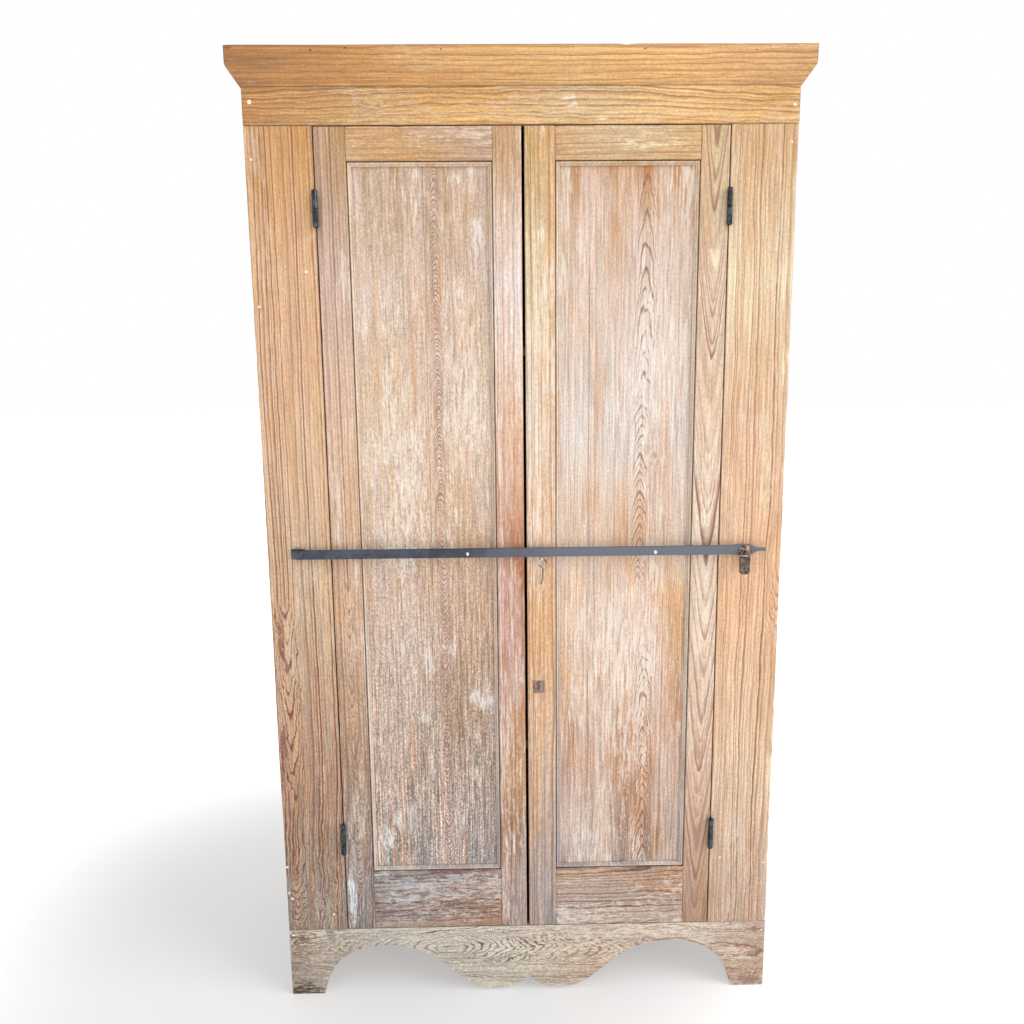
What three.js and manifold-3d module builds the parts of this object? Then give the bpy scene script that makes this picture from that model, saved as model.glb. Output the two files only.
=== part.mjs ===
// A two-door pine armoire with a scalloped base and an iron security bar across the doors.
// Millimetres, +Z up, the front faces -Y. Pieces are placed from the face of the front frame
// (y = 0) backwards; the whole is then moved so that the origin is on the floor, mid-depth.
import * as THREE from 'three';
import { mergeVertices } from 'three/addons/utils/BufferGeometryUtils.js';
import Module from 'manifold-3d';

const wasm = await Module();
wasm.setup();

// ---- Driving dimensions ----
const seam = 0.3;                 // air left between two fixed pieces
const bodyWidth = 1162;
const overallHeight = 2160;
const frontMost = -32;            // the staple's crown
const backFace = 508;
const frameThick = 22;            // face frame and doors
const sideThick = 20;
const backThick = 16;
const topThick = 18;
const doorway = { half: 439, bottom: 173, top: 2013 };
const cornice = { bottom: 2088, out: 24, fascia: 2126, shoulder: 2114 };
const doorGap = 2;
const meetingGap = 3;             // half of the gap between the doors
const leftDoor = { side: -1, hingeStile: 66, meetingStile: 61 };
const rightDoor = { side: 1, hingeStile: 61, meetingStile: 65 };
const panelOpening = { bottom: 324, top: 1942 };
const groove = { front: 9, back: 18, deep: 9 };
const hingeHeights = { lower: 412, upper: 1846 };
const barHeight = 1106;
const stapleX = 491;

const halfBody = bodyWidth / 2;
const innerSide = halfBody - sideThick;
const caseBack = backFace - backThick;
const underTop = overallHeight - topThick;

// ---- Finishes ----
function wood(colour, roughness = 0.75) {
  return new THREE.MeshStandardMaterial({ color: colour, roughness, metalness: 0 });
}
function iron(colour, roughness = 0.55) {
  return new THREE.MeshStandardMaterial({ color: colour, roughness, metalness: 0.8 });
}
const finish = {
  honeyPine: wood('#c79a5e'),
  framePine: wood('#c08d5c'),
  doorPine: wood('#b98f6e'),
  panelPine: wood('#b79580'),
  bottomPine: wood('#a88e72'),
  insidePine: wood('#a8825a', 0.85),
  paintedBead: wood('#cdbda0'),
  barIron: iron('#4a4f5a'),
  hingeIron: iron('#2c2c2e'),
  lockIron: iron('#6a6057', 0.6),
  hookIron: iron('#5a4436', 0.7),
};

// ---- Shapes ----
function box(x0, x1, y0, y1, z0, z1) {
  const block = new THREE.BoxGeometry(x1 - x0, y1 - y0, z1 - z0);
  return block.translate((x0 + x1) / 2, (y0 + y1) / 2, (z0 + z1) / 2);
}

function shapeOf(points) {
  return new THREE.Shape(points.map(([a, b]) => new THREE.Vector2(a, b)));
}

function extruded(shape, length, xAxis, yAxis, zAxis, curveSegments = 8) {
  const solid = new THREE.ExtrudeGeometry(shape, { depth: length, bevelEnabled: false, curveSegments });
  return solid.applyMatrix4(new THREE.Matrix4().makeBasis(xAxis, yAxis, zAxis));
}

const alongX = new THREE.Vector3(1, 0, 0);
const alongY = new THREE.Vector3(0, 1, 0);
const alongZ = new THREE.Vector3(0, 0, 1);
const towardsFront = new THREE.Vector3(0, -1, 0);

// A shape drawn in (y, z), (x, z) or (x, y), and pushed along the third axis.
function prismX(shape, x0, x1, segments) {
  return extruded(shape, x1 - x0, alongY, alongZ, alongX, segments).translate(x0, 0, 0);
}
function prismY(shape, y0, y1, segments) {
  return extruded(shape, y1 - y0, alongX, alongZ, towardsFront, segments).translate(0, y1, 0);
}
function prismZ(shape, z0, z1, segments) {
  return extruded(shape, z1 - z0, alongX, alongY, alongZ, segments).translate(0, 0, z0);
}

function cylinder(axis, radius, from, to, centre, sides = 20) {
  const rod = new THREE.CylinderGeometry(radius, radius, to - from, sides);
  const middle = (from + to) / 2;
  if (axis === 'z') return rod.rotateX(Math.PI / 2).translate(centre[0], centre[1], middle);
  return rod.translate(centre[0], middle, centre[1]);      // along Y, centre is (x, z)
}

function disc(radius) {
  const outline = new THREE.Shape();
  outline.absarc(0, 0, radius, 0, Math.PI * 2);
  return outline;
}

// A round rod that follows a path of straight stretches and arcs.
function rod(path, radius, steps, sides = 5) {
  const options = { extrudePath: path, steps, bevelEnabled: false, curveSegments: sides };
  return new THREE.ExtrudeGeometry(disc(radius), options);
}

// An arc in space: the centre, and the two half-axes that it sweeps between.
class Arc3 extends THREE.Curve {
  constructor(centre, first, second, sweep) {
    super();
    Object.assign(this, { centre, first, second, sweep });
  }
  getPoint(t, target = new THREE.Vector3()) {
    const angle = this.sweep * t;
    return target.copy(this.centre)
      .addScaledVector(this.first, Math.cos(angle))
      .addScaledVector(this.second, Math.sin(angle));
  }
}

// ---- Joining and cutting ----
function toSolid(geometry) {
  const bare = geometry.clone();
  bare.deleteAttribute('normal');
  bare.deleteAttribute('uv');
  const merged = mergeVertices(bare, 1e-4);
  const corners = merged.index.array;
  const kept = [];
  for (let i = 0; i < corners.length; i += 3) {
    const [a, b, c] = [corners[i], corners[i + 1], corners[i + 2]];
    if (a !== b && b !== c && c !== a) kept.push(a, b, c);
  }
  return new wasm.Manifold(new wasm.Mesh({
    numProp: 3,
    vertProperties: new Float32Array(merged.attributes.position.array),
    triVerts: new Uint32Array(kept),
  }));
}

function fromSolid(solid) {
  const mesh = solid.getMesh();
  const geometry = new THREE.BufferGeometry();
  geometry.setAttribute('position', new THREE.BufferAttribute(mesh.vertProperties, 3));
  geometry.setIndex(new THREE.BufferAttribute(mesh.triVerts, 1));
  geometry.computeVertexNormals();
  return geometry;
}

function join(first, ...others) {
  return fromSolid(others.reduce((sum, piece) => sum.add(toSolid(piece)), toSolid(first)));
}
function cut(first, ...others) {
  return fromSolid(others.reduce((rest, piece) => rest.subtract(toSolid(piece)), toSolid(first)));
}

const armoire = new THREE.Group();
armoire.position.set(0, -(frontMost + backFace) / 2, 0);

function addPiece(name, geometry, material) {
  const mesh = new THREE.Mesh(geometry, material.clone());
  mesh.name = name;
  armoire.add(mesh);
  return mesh;
}

// ---- Case ----
// Each side is one board standing on its own two feet, with a rounded arch between them.
function sideOutline() {
  const front = frameThick + seam;
  const back = caseBack - seam;
  const foot = 85;
  const arch = 112;
  const middle = (front + back) / 2;
  const outline = new THREE.Shape();
  outline.moveTo(front, 0);
  outline.lineTo(front + foot, 0);
  outline.bezierCurveTo(front + foot + 8, 70, front + foot + 50, arch, middle, arch);
  outline.bezierCurveTo(back - foot - 50, arch, back - foot - 8, 70, back - foot, 0);
  outline.lineTo(back, 0);
  outline.lineTo(back, underTop - seam);
  outline.lineTo(front, underTop - seam);
  return outline;
}
addPiece('side_panel_left', prismX(sideOutline(), -halfBody, -innerSide, 10), finish.framePine);
addPiece('side_panel_right', prismX(sideOutline(), innerSide, halfBody, 10), finish.framePine);

const caseInside = [-innerSide + seam, innerSide - seam];
const caseFront = frameThick + seam;
addPiece('bottom_board',
  box(...caseInside, caseFront, caseBack - seam, doorway.bottom - 22, doorway.bottom), finish.insidePine);
addPiece('top_board', box(-halfBody, halfBody, 0, backFace, underTop, overallHeight), finish.insidePine);

const backBoards = 5;
for (let i = 0; i < backBoards; i++) {
  const width = bodyWidth / backBoards;
  const left = -halfBody + i * width;
  const from = i === 0 ? left : left + 0.8;
  const to = i === backBoards - 1 ? left + width : left + width - 0.8;
  addPiece(`back_board_${i + 1}`, box(from, to, caseBack, backFace, 95, underTop - seam), finish.insidePine);
}

const shelfHeights = { lower: 640, middle: 1100, upper: 1560 };
for (const [place, height] of Object.entries(shelfHeights)) {
  const shelf = box(...caseInside, frameThick + 3, caseBack - seam, height - 20, height);
  addPiece(`shelf_${place}`, shelf, finish.insidePine);
  for (const [hand, side] of [['left', -1], ['right', 1]]) {
    const outer = side * (innerSide - seam);
    const inner = side * (innerSide - 22);
    const cleat = box(Math.min(outer, inner), Math.max(outer, inner), 45, 470, height - 50, height - 20 - seam);
    addPiece(`shelf_cleat_${place}_${hand}`, cleat, finish.insidePine);
  }
}

// ---- Face frame ----
const leafMortise = { deep: 1.2, back: 18.3, half: 38.3 };

function hingeMortises(edge, into) {
  const inner = edge + into * leafMortise.deep;
  const [x0, x1] = into > 0 ? [edge - 1, inner] : [inner, edge + 1];
  return Object.values(hingeHeights).map((height) => (
    box(x0, x1, -1, leafMortise.back, height - leafMortise.half, height + leafMortise.half)));
}

const stapleRod = { radius: 2.25, half: 6 };
for (const [hand, side] of [['left', -1], ['right', 1]]) {
  const [x0, x1] = side < 0 ? [-halfBody, -doorway.half] : [doorway.half, halfBody];
  const stile = box(x0, x1, 0, frameThick, doorway.bottom + seam, doorway.top - seam);
  const cutters = hingeMortises(side * doorway.half, side);
  if (side > 0) {
    for (const offset of [-stapleRod.half, stapleRod.half]) {
      const at = [stapleX, barHeight + offset];
      cutters.push(cylinder('y', stapleRod.radius + 0.35, -1, frameThick + 1, at, 12));
    }
  }
  addPiece(`face_stile_${hand}`, cut(stile, ...cutters), finish.framePine);
}
addPiece('frieze_board',
  box(-halfBody, halfBody, 0, frameThick, doorway.top, underTop - seam), finish.honeyPine);

// The apron is one wide board: a foot, an ogee arch and a lobe on each half, and a nick between lobes.
const foot = { inner: 502, flare: 5 };
const arch = { peakX: 343, peakZ: 128 };
const ogee = { x: 200, z: 72 };
const lobe = { x: 84, z: 7 };
const nick = { z: 48 };

function apronOutline() {
  const outline = new THREE.Shape();
  outline.moveTo(-halfBody, 0);
  outline.lineTo(-foot.inner, 0);
  outline.lineTo(-foot.inner + foot.flare, 16);
  outline.bezierCurveTo(-foot.inner + 20, 88, -432, arch.peakZ, -arch.peakX, arch.peakZ);
  outline.bezierCurveTo(-288, arch.peakZ, -240, 106, -ogee.x, ogee.z);
  outline.bezierCurveTo(-162, 40, -136, lobe.z, -lobe.x, lobe.z);
  outline.bezierCurveTo(-44, lobe.z, -10, 18, 0, nick.z);
  outline.bezierCurveTo(10, 18, 44, lobe.z, lobe.x, lobe.z);
  outline.bezierCurveTo(136, lobe.z, 162, 40, ogee.x, ogee.z);
  outline.bezierCurveTo(240, 106, 288, arch.peakZ, arch.peakX, arch.peakZ);
  outline.bezierCurveTo(432, arch.peakZ, foot.inner - 20, 88, foot.inner - foot.flare, 16);
  outline.lineTo(foot.inner, 0);
  outline.lineTo(halfBody, 0);
  outline.lineTo(halfBody, doorway.bottom);
  outline.lineTo(-halfBody, doorway.bottom);
  return outline;
}
addPiece('base_apron', prismY(apronOutline(), 0, frameThick, 9), finish.bottomPine);

// ---- Cornice ----
// Its section, drawn as (distance out from the case, height): a bevel that rounds into an upright face.
function corniceSection() {
  const section = new THREE.Shape();
  section.moveTo(seam, cornice.bottom);
  section.lineTo(2, cornice.bottom);
  section.lineTo(cornice.out - 5, cornice.shoulder);
  section.quadraticCurveTo(cornice.out, cornice.shoulder + 7, cornice.out, cornice.fascia + 4);
  section.lineTo(cornice.out, overallHeight - 2);
  section.lineTo(cornice.out - 2, overallHeight);
  section.lineTo(seam, overallHeight);
  return section;
}

// Each vertex of a mitred end is pushed out by its own distance from the case.
function corniceFront() {
  const board = extruded(corniceSection(), 2, towardsFront, alongZ, alongX.clone().negate(), 6);
  const spots = board.attributes.position;
  for (let i = 0; i < spots.count; i++) {
    const end = Math.sign(spots.getX(i) + 1);
    const out = -spots.getY(i);
    spots.setX(i, end * (halfBody + out - seam / 2));
  }
  return board;
}
function corniceReturn(side) {
  const board = extruded(corniceSection(), 2, alongX, alongZ, towardsFront, 6);
  const spots = board.attributes.position;
  for (let i = 0; i < spots.count; i++) {
    const out = spots.getX(i);
    const front = spots.getY(i) < -1;
    spots.setX(i, halfBody + out);
    spots.setY(i, front ? -out + seam / 2 : backFace);
  }
  return side > 0 ? board : mirroredX(board);
}
function mirroredX(geometry) {
  const flipped = geometry.index ? geometry.toNonIndexed() : geometry.clone();
  const spots = flipped.attributes.position;
  for (let i = 0; i < spots.count; i += 3) {
    const triangle = [0, 2, 1].map((k) => [-spots.getX(i + k), spots.getY(i + k), spots.getZ(i + k)]);
    triangle.forEach((corner, k) => spots.setXYZ(i + k, ...corner));
  }
  flipped.computeVertexNormals();
  return flipped;
}
addPiece('cornice_front', corniceFront(), finish.honeyPine);
addPiece('cornice_return_left', corniceReturn(-1), finish.honeyPine);
addPiece('cornice_return_right', corniceReturn(1), finish.honeyPine);

// ---- Doors ----
const doorBottom = doorway.bottom + doorGap;
const doorTop = doorway.top - doorGap;
const hingeEdge = doorway.half - doorGap;
const tongue = { front: groove.front + seam, back: groove.back - seam, long: groove.deep - seam };
const hookX = 37;
const eye = { radius: 4, wire: 1.2, y: -5.6, z: 1088.3, shank: 1.4 };

// Section of a grooved member: across is its width from 0 to w, with the panel groove at w.
function groovedSection(width) {
  const bed = width - groove.deep;
  return [[0, 0], [width, 0], [width, groove.front], [bed, groove.front], [bed, groove.back],
    [width, groove.back], [width, frameThick], [0, frameThick]];
}

function doorStile(edge, into, width) {
  const section = groovedSection(width).map(([across, y]) => [edge + into * across, y]);
  if (into < 0) section.reverse();
  return prismZ(shapeOf(section), doorBottom, doorTop);
}

function doorRail(x0, x1, edge, into, width) {
  const section = groovedSection(width).map(([across, y]) => [y, edge + into * across]);
  if (into > 0) section.reverse();
  const rail = prismX(shapeOf(section), x0 + seam, x1 - seam);
  const bed = edge + into * (width - groove.deep);
  const [z0, z1] = [Math.min(edge, bed), Math.max(edge, bed)];
  return join(rail,
    box(x0 - tongue.long, x0 + 2, tongue.front, tongue.back, z0, z1),
    box(x1 - 2, x1 + tongue.long, tongue.front, tongue.back, z0, z1));
}

function panelBead(x0, x1) {
  const wide = 10;
  const { bottom, top } = panelOpening;
  const ring = shapeOf([[x0 + seam, bottom + seam], [x1 - seam, bottom + seam],
    [x1 - seam, top - seam], [x0 + seam, top - seam]]);
  ring.holes.push(shapeOf([[x0 + wide, bottom + wide], [x0 + wide, top - wide],
    [x1 - wide, top - wide], [x1 - wide, bottom + wide]]));
  return prismY(ring, 2.2, groove.front);
}

function makeDoor(hand, door) {
  const { side } = door;
  const edge = side * hingeEdge;
  const meeting = side * meetingGap;
  const inner = [edge - side * door.hingeStile, meeting + side * door.meetingStile];
  const [x0, x1] = inner.sort((a, b) => a - b);
  const hingeStile = cut(doorStile(edge, -side, door.hingeStile), ...hingeMortises(edge, -side));
  let meetingStile = doorStile(meeting, side, door.meetingStile);
  if (side > 0) {
    meetingStile = cut(meetingStile, cylinder('y', eye.shank + 0.3, -1, 14, [hookX, eye.z], 12));
  }
  addPiece(`door_${hand}_hinge_stile`, hingeStile, finish.doorPine);
  addPiece(`door_${hand}_meeting_stile`, meetingStile, finish.doorPine);
  addPiece(`door_${hand}_top_rail`,
    doorRail(x0, x1, doorTop, -1, doorTop - panelOpening.top), finish.doorPine);
  addPiece(`door_${hand}_bottom_rail`,
    doorRail(x0, x1, doorBottom, 1, panelOpening.bottom - doorBottom), finish.doorPine);
  const reach = groove.deep - seam;
  addPiece(`door_${hand}_panel`, box(x0 - reach, x1 + reach, tongue.front, tongue.back,
    panelOpening.bottom - reach, panelOpening.top + reach), finish.panelPine);
  addPiece(`door_${hand}_bead`, panelBead(x0, x1), finish.paintedBead);
}
makeDoor('left', leftDoor);
makeDoor('right', rightDoor);

// ---- Door hinges ----
// Loose-joint butts: the lower knuckle and its pin stay on the case, the upper one lifts with the door.
const knuckle = { radius: 6, half: 38, x: 438, y: -6.3, bore: 2.6, pin: 2.5 };
const leaf = { thick: 1.7, back: 18, inset: 0.3 };

function hingeLeaf(side, height, upper) {
  const [z0, z1] = upper ? [height + 0.2, height + knuckle.half] : [height - knuckle.half, height - 0.2];
  const near = knuckle.x + (upper ? -leaf.inset : leaf.inset);
  const far = near + (upper ? -leaf.thick : leaf.thick);
  const [x0, x1] = [side * near, side * far].sort((a, b) => a - b);
  const barrel = cylinder('z', knuckle.radius, z0, z1, [side * knuckle.x, knuckle.y]);
  const web = box(x0, x1, knuckle.y, 1, z0, z1);
  const plate = box(x0, x1, 0.2, leaf.back, height - knuckle.half, height + knuckle.half);
  const bore = cylinder('z', knuckle.bore, z0 - 1, z1 + 1, [side * knuckle.x, knuckle.y]);
  return cut(join(barrel, web, plate), bore);
}

for (const [hand, side] of [['left', -1], ['right', 1]]) {
  for (const [place, height] of Object.entries(hingeHeights)) {
    const centre = [side * knuckle.x, knuckle.y];
    const pin = cylinder('z', knuckle.pin, height - knuckle.half, height + knuckle.half + 1.5, centre);
    addPiece(`hinge_${hand}_${place}_case_leaf`, hingeLeaf(side, height, false), finish.hingeIron);
    addPiece(`hinge_${hand}_${place}_door_leaf`, hingeLeaf(side, height, true), finish.hingeIron);
    addPiece(`hinge_${hand}_${place}_pin`, pin, finish.hingeIron);
  }
}

// ---- Security bar ----
const bar = { front: -18, back: -13, half: 11, left: -524, plateHalf: 13, tailHalf: 4.5, right: 541 };
const rivetX = -506;
const barPin = { x: -522, y: -8.5, radius: 1.7, bore: 1.8, knuckle: 3.5 };

function barOutline() {
  const z = barHeight;
  const outline = new THREE.Shape();
  outline.moveTo(bar.left + bar.half, z - bar.half);
  outline.lineTo(462, z - bar.half);
  outline.quadraticCurveTo(472, z - bar.plateHalf, 480, z - bar.plateHalf);
  outline.lineTo(503, z - bar.plateHalf);
  outline.quadraticCurveTo(515, z - bar.plateHalf + 2, 522, z - bar.tailHalf);
  outline.lineTo(bar.right - 2, z - bar.tailHalf);
  outline.lineTo(bar.right, z - bar.tailHalf + 2);
  outline.lineTo(bar.right, z + bar.tailHalf - 2);
  outline.lineTo(bar.right - 2, z + bar.tailHalf);
  outline.lineTo(522, z + bar.tailHalf);
  outline.quadraticCurveTo(515, z + bar.plateHalf - 2, 503, z + bar.plateHalf);
  outline.lineTo(480, z + bar.plateHalf);
  outline.quadraticCurveTo(472, z + bar.plateHalf, 462, z + bar.half);
  outline.lineTo(bar.left + bar.half, z + bar.half);
  outline.absarc(bar.left + bar.half, z, bar.half, Math.PI / 2, Math.PI * 1.5, false);
  const slot = new THREE.Path();
  const reach = 8.8;
  slot.absarc(481 + reach, z, reach, Math.PI * 1.5, Math.PI / 2, true);
  slot.absarc(508 - reach, z, reach, Math.PI / 2, -Math.PI / 2, true);
  const hole = new THREE.Path();
  hole.absarc(rivetX, z, 3.1, 0, Math.PI * 2, true);
  outline.holes.push(slot, hole);
  return outline;
}
addPiece('security_bar', prismY(barOutline(), bar.front, bar.back, 7), finish.barIron);

// The rivet's dome is in front, and its clenched head behind the leaf.
const rivetProfile = [[0, 1.6], [4.4, 1.2], [4.4, 0.1], [2.9, 0.1], [2.9, -7.1], [9, -7.1],
  [8.4, -8.8], [6.2, -10.3], [3.2, -11], [0, -11.2]];
const rivetPoints = rivetProfile.map(([r, h]) => new THREE.Vector2(r, h)).reverse();
const barLeaf = { front: bar.back + 0.1, back: -11 };
addPiece('bar_rivet',
  new THREE.LatheGeometry(rivetPoints, 20).translate(rivetX, barLeaf.back, barHeight), finish.barIron);

function barHingeLeaf() {
  const z = barHeight;
  const plate = shapeOf([[barPin.x, z - 4], [-517.5, z - 4], [-517.5, z - 9], [-495, z - 9],
    [-495, z + 9], [-517.5, z + 9], [-517.5, z + 4], [barPin.x, z + 4]]);
  const leafPlate = prismY(plate, barLeaf.front, barLeaf.back);
  const centre = [barPin.x, barPin.y];
  const barrel = cylinder('z', barPin.knuckle, z - 4, z + 4, centre, 16);
  return cut(join(leafPlate, barrel),
    cylinder('z', barPin.bore, z - 5, z + 5, centre, 16),
    cylinder('y', 3.1, barLeaf.front - 1, barLeaf.back + 1, [rivetX, z], 16));
}
addPiece('bar_hinge_leaf', barHingeLeaf(), finish.barIron);

function barBracket() {
  const z = barHeight;
  const centre = [barPin.x, barPin.y];
  const pieces = [box(-526, -496, -2.6, -0.1, z - 10.5, z + 10.5)];
  for (const [z0, z1] of [[z - 10.5, z - 4.4], [z + 4.4, z + 10.5]]) {
    pieces.push(cylinder('z', barPin.knuckle, z0, z1, centre, 16));
    pieces.push(box(barPin.x - 2.5, barPin.x + 2.5, barPin.y, -1, z0, z1));
  }
  return cut(join(...pieces), cylinder('z', barPin.bore, z - 12, z + 12, centre, 16));
}
addPiece('bar_bracket', barBracket(), finish.barIron);
addPiece('bar_hinge_pin',
  cylinder('z', barPin.radius, barHeight - 10.8, barHeight + 10.8, [barPin.x, barPin.y], 16), finish.barIron);

// ---- Staple and padlock ----
// The staple's legs run through the stile; the bar's slot drops over it and the shackle goes through it.
function stapleGeometry() {
  const crown = frontMost + stapleRod.radius;
  const bend = 3;
  const { half } = stapleRod;
  const at = (y, z) => new THREE.Vector3(stapleX, y, barHeight + z);
  const turn = bend * (Math.PI / 2);
  const path = new THREE.CurvePath();
  path.add(new THREE.LineCurve3(at(frameThick + 2, -half), at(crown + bend, -half)));
  path.add(new Arc3(at(crown + bend, -half + bend),
    new THREE.Vector3(0, 0, -bend), new THREE.Vector3(0, -bend, 0), Math.PI / 2));
  path.add(new THREE.LineCurve3(at(crown, -half + bend), at(crown, half - bend)));
  path.add(new Arc3(at(crown + bend, half - bend),
    new THREE.Vector3(0, -bend, 0), new THREE.Vector3(0, 0, bend), Math.PI / 2));
  path.add(new THREE.LineCurve3(at(crown + bend, half), at(frameThick + 2, half)));
  const length = 2 * (frameThick + 2 - crown - bend) + 2 * turn + 2 * (half - bend);
  path.arcLengthDivisions = 600;
  return rod(path, stapleRod.radius, Math.round(length / 1.7), 3);
}
addPiece('lock_staple', stapleGeometry(), finish.lockIron);

const lock = { y: -24.5, half: 12, thick: 12, top: barHeight - 16, bottom: barHeight - 54 };
const shackle = { radius: 2.25, bow: 9.5 };
const swingZ = barHeight - stapleRod.half;
const bowZ = swingZ + stapleRod.radius + 0.2 + shackle.radius - shackle.bow;
const heel = { x: stapleX + shackle.bow, z: lock.top - 4, eye: 3.2, rivet: 1.4 };
const toeEnd = lock.top - 8;

function shackleGeometry() {
  const at = (x, z) => new THREE.Vector3(stapleX + x, lock.y, z);
  const path = new THREE.CurvePath();
  path.add(new THREE.LineCurve3(at(-shackle.bow, toeEnd), at(-shackle.bow, bowZ)));
  path.add(new Arc3(at(0, bowZ), new THREE.Vector3(-shackle.bow, 0, 0),
    new THREE.Vector3(0, 0, shackle.bow), Math.PI));
  path.add(new THREE.LineCurve3(at(shackle.bow, bowZ), at(shackle.bow, heel.z)));
  path.arcLengthDivisions = 400;
  const centre = [heel.x, heel.z];
  const eyeDisc = cylinder('y', heel.eye, lock.y - 2.2, lock.y + 2.2, centre, 16);
  return cut(join(rod(path, shackle.radius, 30, 3), eyeDisc),
    cylinder('y', heel.rivet + 0.1, lock.y - 4, lock.y + 4, centre, 16));
}
addPiece('padlock_shackle', shackleGeometry(), finish.lockIron);

function lockBody() {
  const { half, top, bottom } = lock;
  const outline = new THREE.Shape();
  outline.moveTo(stapleX - half + 6, bottom);
  outline.lineTo(stapleX + half - 6, bottom);
  outline.quadraticCurveTo(stapleX + half - 0.5, bottom, stapleX + half - 0.5, bottom + 6);
  outline.lineTo(stapleX + half, top - 2);
  outline.lineTo(stapleX + half - 2, top);
  outline.lineTo(stapleX - half + 2, top);
  outline.lineTo(stapleX - half, top - 2);
  outline.lineTo(stapleX - half + 0.5, bottom + 6);
  outline.quadraticCurveTo(stapleX - half + 0.5, bottom, stapleX - half + 6, bottom);
  const front = lock.y - lock.thick / 2;
  const back = lock.y + lock.thick / 2;
  const body = prismY(outline, front, back, 5);
  const toeX = stapleX - shackle.bow;
  const heelSlot = box(heel.x - 3.6, stapleX + half + 2, lock.y - 2.7, lock.y + 2.7,
    heel.z - 3.6, top + 1);
  const toeHole = box(toeX - 3.1, toeX + 3.1, lock.y - 2.9, lock.y + 2.9, toeEnd - 1, top + 1);
  const rivet = cylinder('y', heel.rivet, front - 0.4, back + 0.2, [heel.x, heel.z], 12);
  return join(cut(body, heelSlot, toeHole), rivet);
}
addPiece('padlock_body', lockBody(), finish.lockIron);

// ---- Door hook ----
function hookEye() {
  const ring = new THREE.TorusGeometry(eye.radius, eye.wire, 10, 20);
  ring.rotateY(Math.PI / 2).translate(hookX, eye.y, eye.z);
  return join(ring, cylinder('y', eye.shank, eye.y + eye.radius - 0.8, 13, [hookX, eye.z], 12));
}
addPiece('hook_eye', hookEye(), finish.hookIron);

function latchHook() {
  const wire = 1.25;
  const loop = 9;
  const hangZ = eye.z - eye.radius;
  const loopZ = hangZ + eye.wire + wire + 0.15 - loop;
  const ring = new THREE.TorusGeometry(loop, wire, 10, 28).rotateX(Math.PI / 2);
  ring.translate(hookX, eye.y, loopZ);
  const at = (x, z) => new THREE.Vector3(hookX + x, eye.y, z);
  const path = new THREE.CatmullRomCurve3([at(0.5, loopZ - loop), at(-1.5, loopZ - loop - 12),
    at(-4, loopZ - loop - 28), at(-6.5, loopZ - loop - 37), at(-10, loopZ - loop - 38.5)]);
  const hook = join(ring, rod(path, 1.5, 16, 3));
  // Turned about the eye until its weight hangs straight below.
  const hangAngle = THREE.MathUtils.degToRad(-5.4);
  return hook.translate(-hookX, 0, -hangZ).rotateY(hangAngle).translate(hookX, 0, hangZ);
}
addPiece('latch_hook', latchHook(), finish.hookIron);

export default armoire;
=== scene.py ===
import functools
import math

import bmesh
import bpy
from mathutils import Matrix, Vector, noise


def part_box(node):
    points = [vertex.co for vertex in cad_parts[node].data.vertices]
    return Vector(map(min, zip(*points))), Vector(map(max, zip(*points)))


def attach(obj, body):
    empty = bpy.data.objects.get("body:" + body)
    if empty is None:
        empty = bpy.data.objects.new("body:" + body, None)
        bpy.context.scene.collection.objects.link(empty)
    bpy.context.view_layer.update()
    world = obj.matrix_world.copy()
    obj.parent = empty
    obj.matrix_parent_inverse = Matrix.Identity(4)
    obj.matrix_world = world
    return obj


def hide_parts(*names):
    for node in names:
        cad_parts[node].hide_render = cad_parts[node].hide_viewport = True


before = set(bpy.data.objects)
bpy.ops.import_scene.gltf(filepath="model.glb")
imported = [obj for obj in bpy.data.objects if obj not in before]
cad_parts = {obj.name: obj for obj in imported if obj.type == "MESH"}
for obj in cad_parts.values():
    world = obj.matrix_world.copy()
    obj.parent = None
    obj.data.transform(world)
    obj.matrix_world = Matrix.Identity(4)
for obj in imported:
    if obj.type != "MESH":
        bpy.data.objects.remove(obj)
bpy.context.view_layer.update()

mm = 0.001
noise.seed_set(1)          # the forged outlines come out the same each time


def hexToLinear(code):
    channels = [int(code[i:i + 2], 16) / 255 for i in (0, 2, 4)]
    linear = [c / 12.92 if c <= 0.04045 else ((c + 0.055) / 1.055) ** 2.4 for c in channels]
    return (*linear, 1.0)


nodeModes = {"Math": "operation", "VectorMath": "operation", "MapRange": "interpolation_type",
             "Mix": "data_type", "TexNoise": "noise_dimensions", "TexWhiteNoise": "noise_dimensions"}


def addNode(tree, kind, mode=None, *inputs, stops=(), clamp=False, **named):
    # Inputs go to the sockets in use, in their order. Each is a constant, a colour's hex code, a socket,
    # or a node whose first output in use is meant.
    node = tree.nodes.new("ShaderNode" + kind)
    if mode:
        setattr(node, nodeModes[kind], mode)
    if clamp:
        node.use_clamp = True
    while stops and len(node.color_ramp.elements) < len(stops):
        node.color_ramp.elements.new(0.5)
    for index, (place, colour) in enumerate(stops):
        node.color_ramp.elements[index].position = place
        node.color_ramp.elements[index].color = colour
    pairs = list(zip([socket for socket in node.inputs if socket.enabled], inputs))
    pairs += [(node.inputs[name.replace("_", " ")], value) for name, value in named.items()]
    for socket, value in pairs:
        if isinstance(value, bpy.types.Node):
            value = next(output for output in value.outputs if output.enabled)
        if isinstance(value, str):
            value = hexToLinear(value)
        if isinstance(value, bpy.types.NodeSocket):
            tree.links.new(value, socket)
        else:
            socket.default_value = value
    return node


def greys(*stops):
    return [(place, (value, value, value, 1.0)) for place, value in stops]


def newMaterial(name):
    material = bpy.data.materials.new(name)
    material.use_nodes = True
    material.node_tree.nodes.clear()
    return material, functools.partial(addNode, material.node_tree)


def facing(frontMm):
    # distance behind the face frame's front, in mm, as a place in the frame
    return faceY + frontMm * mm


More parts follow.
